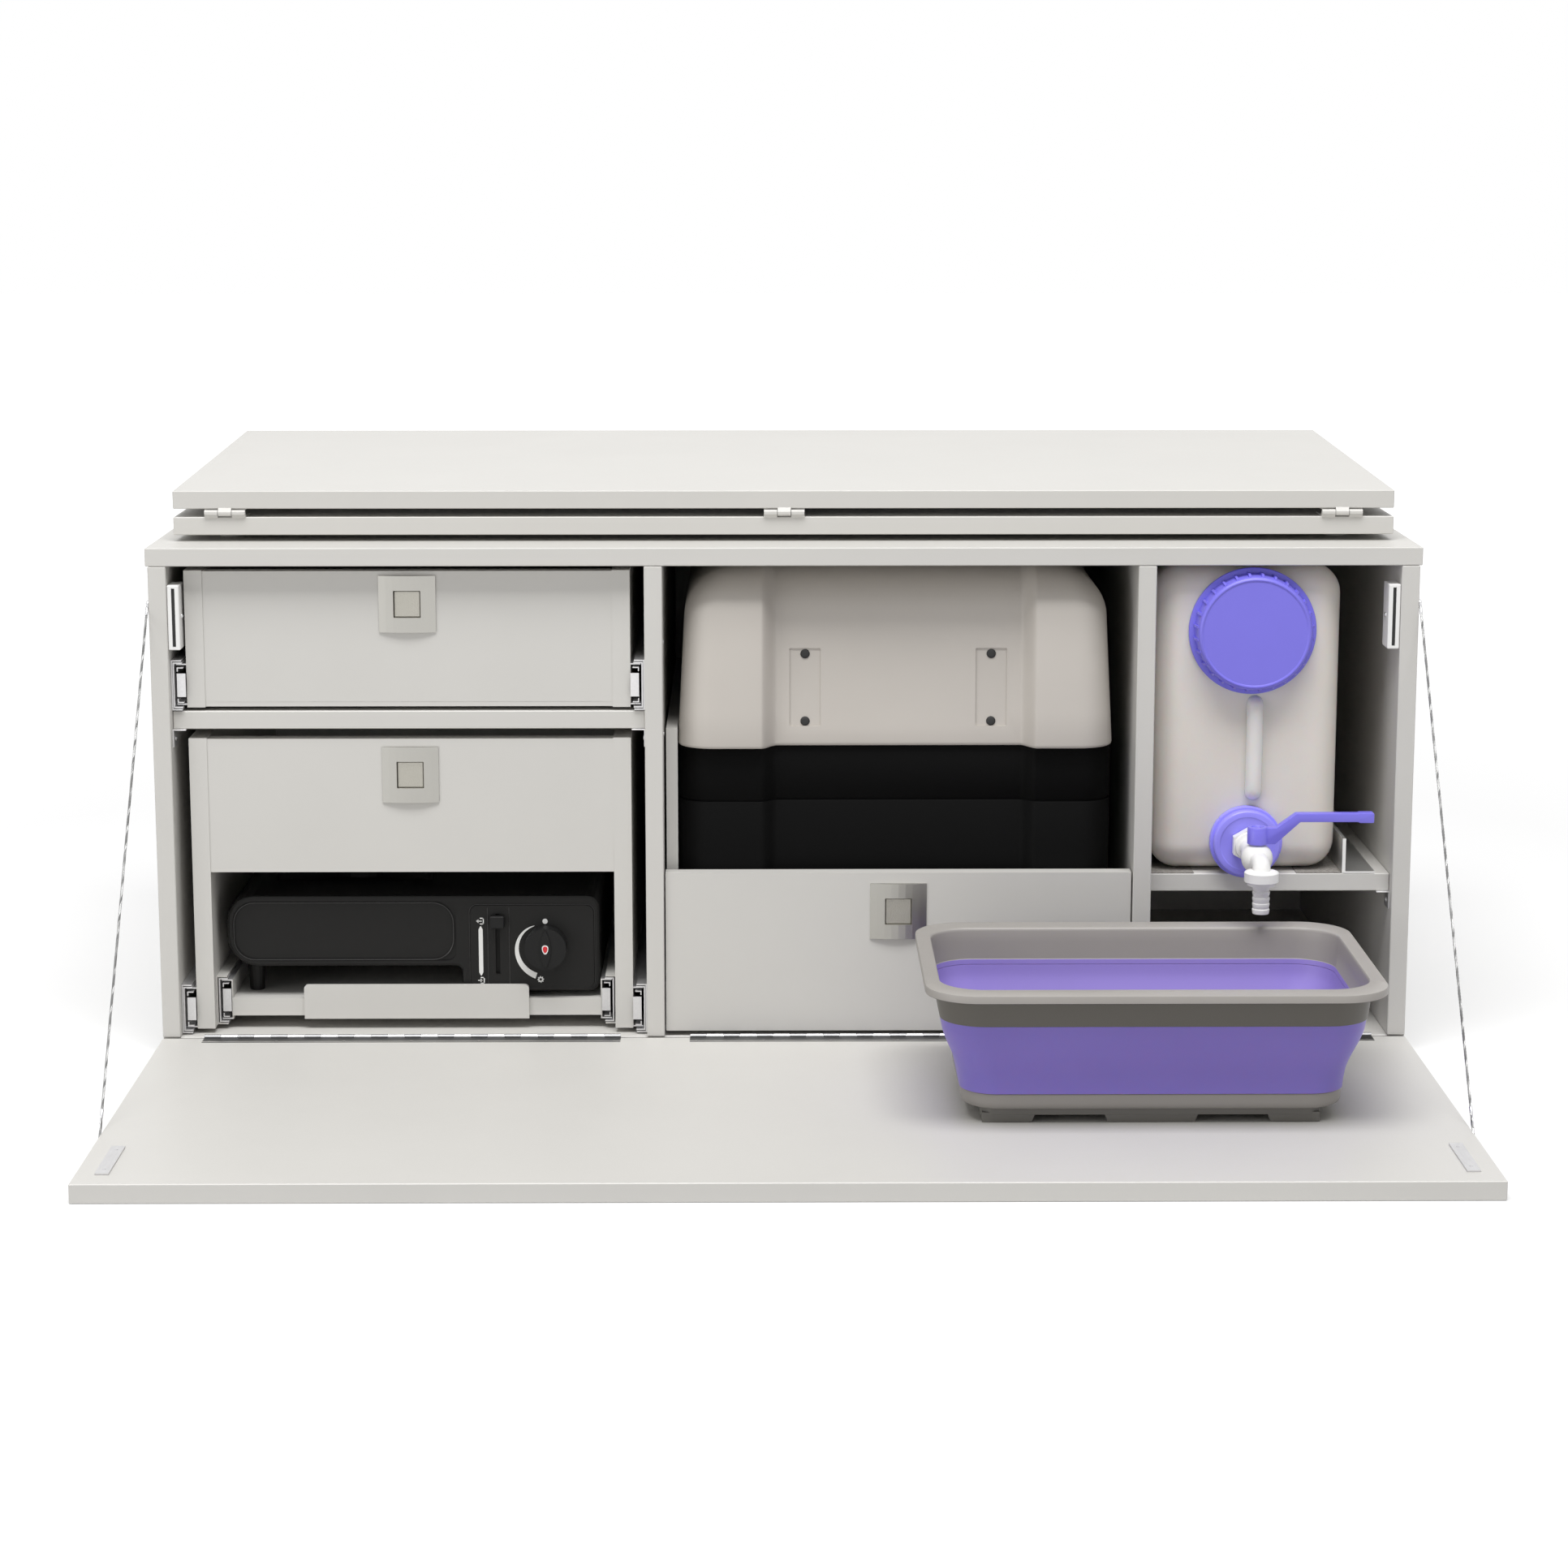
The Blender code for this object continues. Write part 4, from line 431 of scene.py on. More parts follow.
BASIN = (0.3013, -0.4546)
BASIN_HALF = (0.1577, 0.0915)
BASIN_CORNER = 0.030
CORNER_GROWTH = 0.35
SIDE_SHARE = 0.867
SIDE_BULGE = 0.0025
DEEP_FROM, DEEP_SHARE = 0.018, 0.33
RIM_REACH = 0.036
RIM_TOP = 0.136
WALL_FOOT = 0.0429
WALL_TOP = 0.1040
WALL_INNER_TOP = 0.1085
WALL_T = 0.0022
WALL_CURVE = (
    (0.0010, 0), (0.0016, 0.12), (0.0034, 0.30), (0.0072, 0.48), (0.0124, 0.68), (0.0158, 0.84), (0.0175, 1),
)
SEAM = 0.0003
BASE_FOOT = 0.0287
BASE_DECK = 0.0426
FOOT_STRIP_X = (0.1593, 0.4403)
FOOT_STRIP_HALF = 0.0832
FOOT_DEPTH = 0.034
FOOT_SLANT = 0.0028
# left and right end of each foot, and how far each end leans outward
FEET = ((0.1605, 0.2014, 0, 1), (0.2643, 0.3360, 1, 1), (0.3989, 0.4391, 1, 0))


def basin_ring(offset, height, steps):
    """One level of the basin: the rim reaches further out to the front and back than to the sides."""
    bulge = SIDE_BULGE * math.sin(math.pi * min(max(offset, 0), RIM_REACH) / RIM_REACH)
    across = offset * SIDE_SHARE + bulge
    deep = offset + max(0, offset - DEEP_FROM) * DEEP_SHARE
    x = (BASIN[0] - BASIN_HALF[0] - across, BASIN[0] + BASIN_HALF[0] + across)
    y = (BASIN[1] - BASIN_HALF[1] - deep, BASIN[1] + BASIN_HALF[1] + deep)
    return [(u, v, height) for u, v in rounded(x, y, BASIN_CORNER + CORNER_GROWTH * offset, steps)]


def swept(profile, steps=12):
    """A closed profile of (outward offset, height) swept round the basin's rounded outline."""
    return loft([basin_ring(offset, height, steps) for offset, height in profile], ring_closed=True)


def inward(face):
    """Whether a face of the basin looks towards its middle."""
    return face.normal.x * (face.center.x - BASIN[0]) + face.normal.y * (face.center.y - BASIN[1]) < -0.002


def basin_wall():
    rise = WALL_TOP - WALL_FOOT
    outside = spline([(out, WALL_FOOT + share * rise) for out, share in WALL_CURVE], 5)
    inside = [(out - WALL_T, height) for out, height in reversed(outside)]
    wall = piece("basin_soft_wall", swept(outside + inside), "silicone", "basin",
                 ("basin_wall",), sharp=math.radians(60))
    second(wall, "silicone_inner", inward)
    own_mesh(wall)


def basin_rim():
    """The band under the rim, with painted shade on its outer side, the rim's flat top and its rolled lip,
    with painted light on their upward faces, and the band's inner side.
    """
    low, top, inner = WALL_TOP + SEAM, RIM_TOP, WALL_INNER_TOP
    profile = [
        (0.0182, low), (0.0188, low + 0.004), (0.0206, top - 0.013), (0.0216, top - 0.0068),
        (0.0232, top - 0.0056), (0.0262, top - 0.0052), (0.0330, top - 0.0052), (0.0336, top - 0.0058),
        (0.0340, top - 0.0068), (0.0346, top - 0.0071), (0.0354, top - 0.0070), (0.0360, top - 0.0064),
        (0.0360, top - 0.0012), (0.0357, top - 0.0004), (0.0350, top), (0.0205, top), (0.0193, top - 0.0003),
        (0.0186, top - 0.0012), (0.0182, top - 0.0030), (0.0176, top - 0.012), (0.0162, inner + 0.0004),
        (0.0158, inner), (0.0157, inner - 0.0006), (0.0153, low),
    ]
    rim = piece("basin_band_and_rim", swept(profile, 14), "basin_grey", "rim",
                ("basin_rim",))
    # painted shade: the outer band below the rim's lip is darkened, as if under the overhang
    second(rim, "basin_grey_painted_shade", lambda face: (
        not inward(face) and face.center.z < top - 0.0060 and face.normal.z < 0.5))
    # painted light: the rim's upward faces get the lighter grey
    second(rim, "basin_grey_painted_light", lambda face: face.center.z > top - 0.0072 and face.normal.z > 0.5)
    second(rim, "silicone_inner", lambda face: face.center.z < inner + 0.0001 and inward(face))


def basin_base():
    """The rigid base, drawn in to its underside, and the strip of feet that it stands on."""
    foot, deck = BASE_FOOT, BASE_DECK
    rings = [basin_ring(-draw, height, 12) for draw, height in (
        (0.0056, foot), (0.0040, foot + 0.0004), (0.0022, foot + 0.0014), (0.0009, foot + 0.0030),
        (0.0002, foot + 0.0048), (0, foot + 0.0066), (0, deck - 0.0006), (0.0006, deck),
    )]
    strip_y = (BASIN[1] - FOOT_STRIP_HALF, BASIN[1] + FOOT_STRIP_HALF)
    low, deep = FLAP_TOP + SEAM, foot - 0.006
    parts = [loft(rings), plate(rounded(FOOT_STRIP_X, strip_y, 0.012, 8), "z", deep, foot + 0.002)]
    for left, right, lean_left, lean_right in FEET:
        wide = (left - FOOT_SLANT * lean_left, right + FOOT_SLANT * lean_right)
        outline = [(left, low), (right, low), (wide[1], deep), (wide[1], deep + 0.002),
                   (wide[0], deep + 0.002), (wide[0], deep)]
        for row in (strip_y[0] + 0.0008, strip_y[1] - 0.0008 - FOOT_DEPTH):
            parts.append(plate(outline, "y", row, row + FOOT_DEPTH))
    base = piece("basin_footed_base", merged(*parts), "basin_grey_base", "basin",
                 ("basin_base",), bevel=0.0003)
    # painted shade: the feet under the base are darkened
    second(base, "basin_grey_feet_painted_shade", lambda face: face.center.z < foot - 0.0001)


# Water can with its cap, tap and lever

CAN_X = (0.329, 0.4965)
CAN_Y = (-0.243, 0.125)
CAN_Z = (0.1639, 0.440)
CAN_EDGE = 0.026
NECK_R = 0.0465
LEVEL_X, LEVEL_Y, LEVEL_R = 0.41945, -0.2455, 0.0075
LEVEL_Z = (0.236, 0.318)
SEAT_Y = -0.2433
CAP = (0.41545, 0.383)
CAP_DEPTH = 0.0235
CAP_RING_R, CAP_RING_T = 0.0567, 0.004
CAP_RIBS = 28
TAP = (0.41365, 0.1924)
COLLAR_R, COLLAR_FACE_R = 0.0325, 0.0300
COLLAR_DEPTH, COLLAR_FLANGE_T = 0.0155, 0.0075
GRIP_NOTCHES, NOTCH_DEPTH, NOTCH_HALF = 9, 0.985, 0.028
TAP_FRONT = SEAT_Y - 0.0158
BALL_Y, SPOUT_Y = -0.3197, -0.3495
BALL_R, HEXAGON_R = 0.0138, 0.0155
ELBOW_R = 0.0078
BARB_RINGS = 5
LEVER_REACH, LEVER_RISE = 0.1011, 0.0410
LEVER_LOW, LEVER_HUB_TOP = 0.0130, 0.0280
LEVER_HALF, LEVER_T = 0.00475, 0.0080


def rounded_block(x, y, z, radius, steps=8):
    """A block whose edges and corners are all rounded by one radius."""
    rings = []
    for way in (-1, 1):
        turns = range(steps + 1) if way < 0 else range(steps, -1, -1)
        for step in turns:
            angle = step / steps * math.pi / 2
            draw = radius * (1 - math.sin(angle))
            lift = radius * (1 - math.cos(angle))
            height = z[0] + lift if way < 0 else z[1] - lift
            own = max(radius - draw, 0.0005)
            outline = rounded((x[0] + draw, x[1] - draw), (y[0] + draw, y[1] - draw), own, steps)
            rings.append([(u, v, height) for u, v in outline])
    return loft(rings)


def can():
    neck = turned([(NECK_R, CAN_Y[0] - 0.010), (NECK_R, CAN_Y[0] + 0.003)], "y", CAP, 48)
    body = rounded_block(CAN_X, CAN_Y, CAN_Z, CAN_EDGE, 10)
    piece("can_shell", merged(body, neck), "can", "water_can", ("water_can",))
    x, y, (low, high), root = LEVEL_X, LEVEL_Y, LEVEL_Z, CAN_Y[0] + 0.006
    path = spline([
        (x, root, high), (x, y + 0.0022, high - 0.0012), (x, y, high - 0.006), (x, y, (low + high) / 2),
        (x, y, low + 0.006), (x, y + 0.0022, low + 0.0012), (x, root, low),
    ], 6)
    piece("can_level_tube", tube(path, LEVEL_R, 20), "tube", "water_can")


def cap():
    """Screw cap: a flange ring, a ribbed skirt drawn in to a rim and a slightly dished face."""
    front = SEAT_Y - CAP_DEPTH
    ring = turned(eased(SEAT_Y - CAP_RING_T, SEAT_Y, 0.0009, CAP_RING_R), "y", CAP, 96)
    skirt = [
        (0.0518, SEAT_Y - 0.0038), (0.0514, SEAT_Y - 0.010), (0.0505, front + 0.0036),
        (0.0500, front + 0.0017), (0.0490, front + 0.0006), (0.0478, front + 0.0001),
        (0.0468, front + 0.0003), (0.0461, front + 0.0008), (0.0300, front + 0.0007),
        (0.0050, front + 0.0006),
    ]
    rib = loft([
        [(0.0494, along, -0.0014), (0.0532 - lean, along, -0.0010), (0.0532 - lean, along, 0.0010),
         (0.0494, along, 0.0014)]
        for along, lean in ((SEAT_Y - 0.0036, 0), (front + 0.0060, 0.0004), (front + 0.0030, 0.0022))
    ])
    parts = [ring, turned(skirt, "y", CAP, 96)]
    for index in range(CAP_RIBS):
        turn = Matrix.Rotation(2 * math.pi * (index + 0.5) / CAP_RIBS, 4, "Y")
        parts.append(moved(rib, Matrix.Translation((CAP[0], 0, CAP[1])) @ turn))
    piece("can_screw_cap", merged(*parts), "violet", "cap", ("can_cap",),
          sharp=math.radians(32))


def notched(angle):
    """The collar's share of its radius at an angle: a little less in its grip notches."""
    turn = (angle * GRIP_NOTCHES / (2 * math.pi)) % 1
    return NOTCH_DEPTH if abs(turn - 0.5) < NOTCH_HALF else 1.0


def collar():
    """Flanged collar: a thick ring with grip notches, a groove and the raised face round the tap."""
    front, flange = SEAT_Y - COLLAR_DEPTH, SEAT_Y - COLLAR_FLANGE_T
    ring = turned(eased(flange, SEAT_Y, 0.0011, COLLAR_R), "y", TAP, 216, notched)
    face = [
        (COLLAR_FACE_R, flange + 0.001), (COLLAR_FACE_R, flange - 0.0052), (0.0297, front + 0.0012),
        (0.0288, front + 0.0003), (0.0276, front), (0.0246, front), (0.0240, front + 0.0005),
        (0.0232, front + 0.0007), (0.0090, front + 0.0007),
    ]
    piece("tap_collar_ring", merged(ring, turned(face, "y", TAP, 96)), "violet_light", "water_can",
          ("tap_collar",), sharp=math.radians(30))


def tap_valve():
    """The tap's hexagon, shaft, ball and the ball's shoulder, along the can's outlet."""
    front = TAP_FRONT
    turns = [i * math.pi / 3 for i in range(6)]
    hexagon = [(TAP[0] + HEXAGON_R * math.sin(a), TAP[1] + HEXAGON_R * math.cos(a)) for a in turns]
    shaft = [(0.0125, front - 0.0080), (0.0125, front - 0.0108), (0.0119, front - 0.0120),
             (0.0090, front - 0.0128), (0.0090, BALL_Y + 0.004)]
    count, cut = 14, 0.35
    turns = [math.pi * (i + cut) / (count + 2 * cut) for i in range(count + 1)]
    ball = [(BALL_R * math.sin(a), BALL_Y - BALL_R * math.cos(a)) for a in turns]
    shoulder = [(0.0112, BALL_Y + 0.0080), (0.0120, BALL_Y + 0.0090), (0.0120, BALL_Y + 0.0140),
                (0.0112, BALL_Y + 0.0150)]
    return [
        plate(hexagon, "y", front - 0.0088, front), turned(shaft, "y", TAP, 32),
        turned(ball, "y", TAP, 40), turned(shoulder, "y", TAP, 32),
    ]


def tap_spout():
    """The elbow, the flanged nut with its cone, and the barb with its rings."""
    x, y, z = TAP[0], SPOUT_Y, TAP[1]
    elbow = spline([
        (x, BALL_Y, z), (x, y + 0.0120, z), (x, y + 0.0042, z - 0.0006), (x, y + 0.0008, z - 0.0040),
        (x, y, z - 0.0075), (x, y, z - 0.0160),
    ], 5)
    top, bottom = z - 0.0056, z - 0.0148
    nut = [(0.0100, top + 0.0012), (0.0138, top + 0.0002), (0.0149, top - 0.0008), (0.0149, bottom + 0.0006),
           (0.0141, bottom), (0.0125, bottom - 0.0002), (0.0121, bottom - 0.0028), (0.0090, bottom - 0.0031)]
    foot, tip = bottom - 0.0026, z - 0.0428
    pitch = (foot - tip) / BARB_RINGS
    barb = [(0.0062, foot + 0.001)]
    for index in range(BARB_RINGS):
        high = foot - index * pitch
        barb += [(0.0069, high), (0.0069, high - 0.10 * pitch), (0.0076, high - 0.18 * pitch),
                 (0.0076, high - 0.40 * pitch), (0.0070, high - 0.98 * pitch)]
    barb += [(0.0058, tip), (0.0044, tip + 0.0002), (0.0042, tip + 0.006)]
    return [
        tube(elbow, ELBOW_R, 28), turned(nut, "z", (x, y), 64, lambda a: 1 + 0.006 * math.cos(32 * a)),
        turned(barb, "z", (x, y), 32),
    ]


def tap():
    stem = turned([(0.0055, TAP[1]), (0.0055, TAP[1] + 0.0205)], "z", (TAP[0], BALL_Y), 24)
    piece("tap_ball_valve", merged(*tap_valve(), *tap_spout(), stem), "white_plastic", "tap",
          ("tap_body",), sharp=math.radians(34))


def lever():
    """Tap lever: a round hub with a dished top, and a bent flat arm with a thicker tip."""
    low, high = TAP[1] + LEVER_LOW, TAP[1] + LEVER_HUB_TOP
    hub = [(0.0086, low), (0.0090, low + 0.0004), (0.0090, high - 0.0008), (0.0084, high),
           (0.0058, high), (0.0054, high - 0.0006), (0.0020, high - 0.0008)]
    x, tip, top = TAP[0], TAP[0] + LEVER_REACH, TAP[1] + LEVER_RISE
    under = top - LEVER_T
    outline = [
        (x + 0.002, low + 0.0003), (x + 0.0150, low + 0.0003), (x + 0.0366, under), (tip - 0.0135, under),
        (tip - 0.0128, under - 0.0009), (tip - 0.0008, under - 0.0009), (tip, under - 0.0001),
        (tip, top - 0.0008), (tip - 0.0008, top), (tip - 0.0128, top), (tip - 0.0135, top - 0.0005),
        (x + 0.0332, top - 0.0005), (x + 0.0157, high - 0.0003), (x + 0.002, high - 0.0003),
    ]
    arm = plate(outline, "y", BALL_Y - LEVER_HALF, BALL_Y + LEVER_HALF)
    piece("tap_lever_arm", arm, "violet", "lever", ("tap_lever",), bevel=0.0006)
    piece("tap_lever_hub", turned(hub, "z", (TAP[0], BALL_Y), 40), "violet", "lever")


# Cool box

COOLER_X = (-0.0955, 0.2945)
COOLER_REAR = 0.196
COOLER_FOOT = 0.0798
COOLER_SEAM = COOLER_FOOT + 0.1472
COOLER_CORNER, CORNER_SHRINK = 0.030, 0.36
PADS_X = (COOLER_X[0] + 0.0742, COOLER_X[1] - 0.0685)
PAD_SLOPE, PAD_STEPS = 0.0150, 14
BODY_FRONT, BODY_DIP = -0.236, 0.010
SHELL_FRONT, SHELL_DIP = -0.248, 0.018
SHELL_Z = (0.277, 0.437)
SHELL_FOOT = SHELL_Z[0] + 0.003
SHELL_ROUND_UP, SHELL_ROUND_IN = 0.044, 0.050
SHELL_LEAN_IN = 0.0060
POCKETS_X = (-0.081, 0.0855)
POCKET_HALF, POCKET_DEPTH = (0.014, 0.035), 0.0015
POCKET_MIDDLE = SHELL_Z[0] + 0.053
PLUGS_Z = (0.3598, 0.2993)


def cooler_ring(z, front, draw, depth):
    """One level of the cool box: a rounded rectangle whose front is set back between two pads."""
    x = (COOLER_X[0] + draw, COOLER_X[1] - draw)
    y = (front + draw, COOLER_REAR - draw)
    outline = rounded(x, y, COOLER_CORNER - CORNER_SHRINK * draw, 12)
    slope = [step / PAD_STEPS for step in range(PAD_STEPS + 1)]
    falls = [(share * PAD_SLOPE, depth * share * share * (3 - 2 * share)) for share in slope]
    dip = [(PADS_X[0] + along, y[0] + fall) for along, fall in falls]
    dip += [(PADS_X[1] - along, y[0] + fall) for along, fall in reversed(falls)]
    first = len(outline) // 4
    return [(u, v, z) for u, v in outline[:first] + dip + outline[first:]]


def cool_box_body():
    foot, seam, top = COOLER_FOOT, COOLER_SEAM, SHELL_Z[0]
    levels = (
        (foot, 0.0030), (foot + 0.0008, 0.0013), (foot + 0.0030, 0), (seam - 0.0008, 0),
        (seam - 0.0001, 0.0006), (seam, 0.0016), (seam + 0.0012, 0.0016), (seam + 0.0013, 0.0006),
        (seam + 0.0020, 0), (top - 0.0010, 0), (top - 0.0003, 0.0006),
    )
    body = loft([cooler_ring(z, BODY_FRONT, draw, BODY_DIP) for z, draw in levels])
    piece("cool_box_body", body, "cooler_dark", "cool_box_pullout", ("cooler_body",),
          sharp=math.radians(50))


def cool_box_shell():
    """The light upper shell, which leans in to its rounded top, with two pockets for its plugs."""
    shoulder = SHELL_Z[1] - SHELL_ROUND_UP
    low, foot = SHELL_Z[0], SHELL_FOOT
    levels = [(low, 0.0030), (low + 0.0004, 0.0014), (low + 0.0014, 0.0004), (foot, 0)]
    levels += [(foot + (shoulder - foot) * share, SHELL_LEAN_IN * share) for share in (0.25, 0.5, 0.75, 1)]
    for step in range(1, 13):
        angle = step / 12 * math.pi / 2
        drawn = SHELL_LEAN_IN + SHELL_ROUND_IN * (1 - math.cos(angle))
        levels.append((shoulder + SHELL_ROUND_UP * math.sin(angle), drawn))
    shell = loft([cooler_ring(z, SHELL_FRONT, draw, SHELL_DIP) for z, draw in levels])
    face = SHELL_FRONT + SHELL_DIP
    lean = math.atan(SHELL_LEAN_IN / (shoulder - foot))
    pivot = Matrix.Translation((0, face, foot))
    tilt = pivot @ Matrix.Rotation(-lean, 4, "X") @ pivot.inverted()
    sunk = face + POCKET_DEPTH
    plug = [(0.0042, sunk + 0.0008), (0.0042, sunk - 0.0004), (0.0037, sunk - 0.0011),
            (0.0026, sunk - 0.0015), (0.0008, sunk - 0.0016)]
    pockets, plugs = [], []
    for offset in POCKETS_X:
        x = (COOLER_X[0] + COOLER_X[1]) / 2 + offset
        across = (x - POCKET_HALF[0], x + POCKET_HALF[0])
        up = (POCKET_MIDDLE - POCKET_HALF[1], POCKET_MIDDLE + POCKET_HALF[1])
        pockets.append(moved(plate(rounded(across, up, 0.0012, 3), "y", face - 0.003, sunk), tilt))
        plugs += [moved(turned(plug, "y", (x, z), 28), tilt) for z in PLUGS_Z]
    piece("cool_box_shell", shell, "cooler_light", "cool_box_pullout", ("cooler_shell",),
          sharp=math.radians(44), cutters=pockets)
    piece("cool_box_plugs", merged(*plugs), "rubber", "cool_box_pullout")


# Marks and beads on the cooker's front

PLATE_Y = -0.2239
MARK = 0.00018
KNOB = (-0.2161, 0.0924)
KNOB_Y = PLATE_Y - 0.0003 - 0.016 - 0.0012
# angle in degrees and outer radius of the arc round the knob
ARC_KNOTS = ((120, 0.0212), (192, 0.0291), (252, 0.0327))
ARC_STEPS = 24
ARC_THICK = (0.0004, 0.0052)
DOT, DOT_R = (-0.2169, 0.1147), 0.0024
BAR_X, BAR_HALF, BAR_Z = -0.2754, 0.0019, (0.0644, 0.1102)
SIGNS_Z = (BAR_Z[1] + 0.0048, BAR_Z[0] - 0.0046)
COG, COG_HOLE_R = (-0.2215, 0.0606), 0.0012
DROP = (0.0029, 0.0042, 0.0006)
BEAD_Y, BEAD_R, RAIL_R = -0.2225, 0.0006, 0.00045
# x, z and corner radius of the pressed beads
BEADS = (((-0.4990, -0.3000), (0.0790, 0.1320), 0.019), ((-0.2855, -0.1722), (0.0518, 0.1302), 0.0075))
LEVER_RAILS_X, LEVER_RAILS_Z = (-0.2689, -0.2494), (0.0545, 0.1275)


def mark(outline):
    return plate(outline, "y", PLATE_Y - MARK, PLATE_Y + MARK)


def polar(centre, radius, angle):
    return (centre[0] + radius * math.cos(angle), centre[1] + radius * math.sin(angle))


def arc_outline():
    """A crescent round the knob that widens clockwise; its radius is a parabola through the knots."""
    outer, inner = [], []
    for step in range(ARC_STEPS + 1):
        share = step / ARC_STEPS
        angle = ARC_KNOTS[0][0] + (ARC_KNOTS[-1][0] - ARC_KNOTS[0][0]) * share
        radius = sum(
            r * math.prod((angle - b) / (a - b) for b, _ in ARC_KNOTS if b != a) for a, r in ARC_KNOTS
        )
        thick = ARC_THICK[0] + ARC_THICK[1] * share ** 0.75
        outer.append(polar(KNOB, radius, math.radians(angle)))
        inner.append(polar(KNOB, radius - thick, math.radians(angle)))
    return outer + inner[::-1]


def bar_outline():
    low, high, point = *BAR_Z, 0.0004
    return [
        (BAR_X - BAR_HALF, low + 0.003), (BAR_X - point, low), (BAR_X + point, low),
        (BAR_X + BAR_HALF, low + 0.003), (BAR_X + BAR_HALF, high - 0.003), (BAR_X + point, high),
        (BAR_X - point, high), (BAR_X - BAR_HALF, high - 0.003),
    ]


def frame_outlines(x, z):
    """A small frame, open to the left, with a line through its open side."""
    w, h, t = 0.0030, 0.0031, 0.0009
    far, open_from = x + w, x - w * 0.2
    return [
        box_outline((far - t, far), (z - h, z + h)),
        box_outline((open_from, far), (z + h - t, z + h)),
        box_outline((open_from, far), (z - h, z - h + t)),
        box_outline((x - w, far - 2 * t), (z - t * 0.45, z + t * 0.45)),
    ]


def arrow_head(x, z, way):
    return [(x, z), (x + way * 0.0022, z - 0.0018), (x + way * 0.0022, z + 0.0018)]


def cog_ring():
    """A small cog with a hole."""
    turns = [2 * math.pi * i / 32 for i in range(32)]
    rim = [polar(COG, 0.0031 if i % 4 < 2 else 0.0023, a) for i, a in enumerate(turns)]
    hole = [polar(COG, COG_HOLE_R, a) for a in turns]
    back, front = PLATE_Y + MARK, PLATE_Y - MARK
    levels = ((rim, back), (rim, front), (hole, front), (hole, back))
    return loft([[(u, y, v) for u, v in outline] for outline, y in levels], ring_closed=True)


def drop(scale):
    """The outline of the drop on the knob."""
    half, tall, lean = DROP
    turns = [2 * math.pi * i / 28 for i in range(28)]
    return [
        (KNOB[0] + scale * half * math.sin(a),
         KNOB[1] + 0.0004 + scale * (tall * math.cos(a) - lean * math.cos(2 * a)))
        for a in turns
    ]


def cooker_marks():
    white = [arc_outline(), [polar(DOT, DOT_R, math.pi * i / 12) for i in range(24)], bar_outline()]
    for z in SIGNS_Z:
        white += frame_outlines(BAR_X, z)
    white.append(arrow_head(BAR_X - 0.0040, SIGNS_Z[0], 1))
    white.append(arrow_head(BAR_X + 0.0014, SIGNS_Z[1], -1))
    parts = [mark(outline) for outline in white]
    piece("cooker_marks", merged(*parts, cog_ring()), "mark_white", "tray")
    beads = []
    for x, z, radius in BEADS:
        path = [(u, BEAD_Y, v) for u, v in rounded(x, z, radius, 8)]
        beads.append(tube(path + path[:1], BEAD_R, 8))
    for x in LEVER_RAILS_X:
        beads.append(tube([(x, PLATE_Y, z) for z in LEVER_RAILS_Z], RAIL_R, 8))
    piece("cooker_beads", merged(*beads), "enamel_gloss", "tray")
    rim = plate(drop(1.0), "y", KNOB_Y - 0.0002, KNOB_Y + 0.0003)
    piece("knob_spot_rim", rim, "mark_white", "knob")
    spot = plate(drop(0.70), "y", KNOB_Y - 0.0004, KNOB_Y + 0.0002)
    piece("knob_spot", spot, "mark_red", "knob")


# Stay wires, screws and small fittings

STAY_X = 0.5615
STAY_TOP = (-0.256, 0.409)
STAY_FOOT = (-0.565, 0.008)
WIRE_R = 0.00115
WIRE_STRANDS, STRAND_SHARE = 6, 0.36
WIRE_TURNS = 60
FERRULE = ((0, 0.0011), (0.0005, 0.0014), (0.0075, 0.0014), (0.008, 0.0011))
HOOK_STUD = ((0.0038, 0.5602), (0.0038, 0.5612), (0.0028, 0.5622), (0.0010, 0.5624))
ANCHOR_STUD = ((0.0036, 0.5602), (0.0036, 0.5612), (0.0026, 0.5624), (0.0010, 0.5626))
SIDES = (("left", -1), ("right", 1))


def stay_ends(sign):
    """The upper and the lower end of a side's wire."""
    return (sign * STAY_X, *STAY_TOP), (sign * STAY_X, *STAY_FOOT)


def stay_line(sign):
    """Both ends as vectors, and the direction from the upper to the lower one."""
    top, foot = (Vector(end) for end in stay_ends(sign))
    return top, foot, (foot - top).normalized()


def strands(start, end, radius):
    """Six strands twisted about a core between two points."""
    start, end = Vector(start), Vector(end)
    ahead = (end - start).normalized()
    side = ahead.orthogonal().normalized()
    up = ahead.cross(side)
    length = (end - start).length
    steps = int(length * WIRE_TURNS * WIRE_STRANDS)
    strand = radius * STRAND_SHARE
    parts = [tube([start + ahead * length * i / 40 for i in range(41)], strand, 6)]
    for index in range(WIRE_STRANDS):
        path = []
        for i in range(steps + 1):
            angle = 2 * math.pi * (index / WIRE_STRANDS + WIRE_TURNS * length * i / steps)
            around = math.cos(angle) * side + math.sin(angle) * up
            path.append(start + ahead * length * i / steps + (radius - strand) * around)
        parts.append(tube(path, strand, 5))
    return merged(*parts)


def stay_wires():
    for side, sign in SIDES:
        top, foot = stay_ends(sign)
        wire = piece(side + "_stay_wire", strands(top, foot, WIRE_R), "cable", None,
                     (side + "_stay_cable",))
        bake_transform(wire)


def ferrule(end, way, first):
    """A pressed sleeve that begins at a distance from a wire's end."""
    path = [end + way * (first + along) for along, _ in FERRULE]
    return tube(path, [radius for _, radius in FERRULE], 16)


def stud(profile, sign, centre):
    """A stud's head on the cabinet's side."""
    return turned([(radius, sign * out) for radius, out in profile], "x", (centre.y, centre.z), 20)


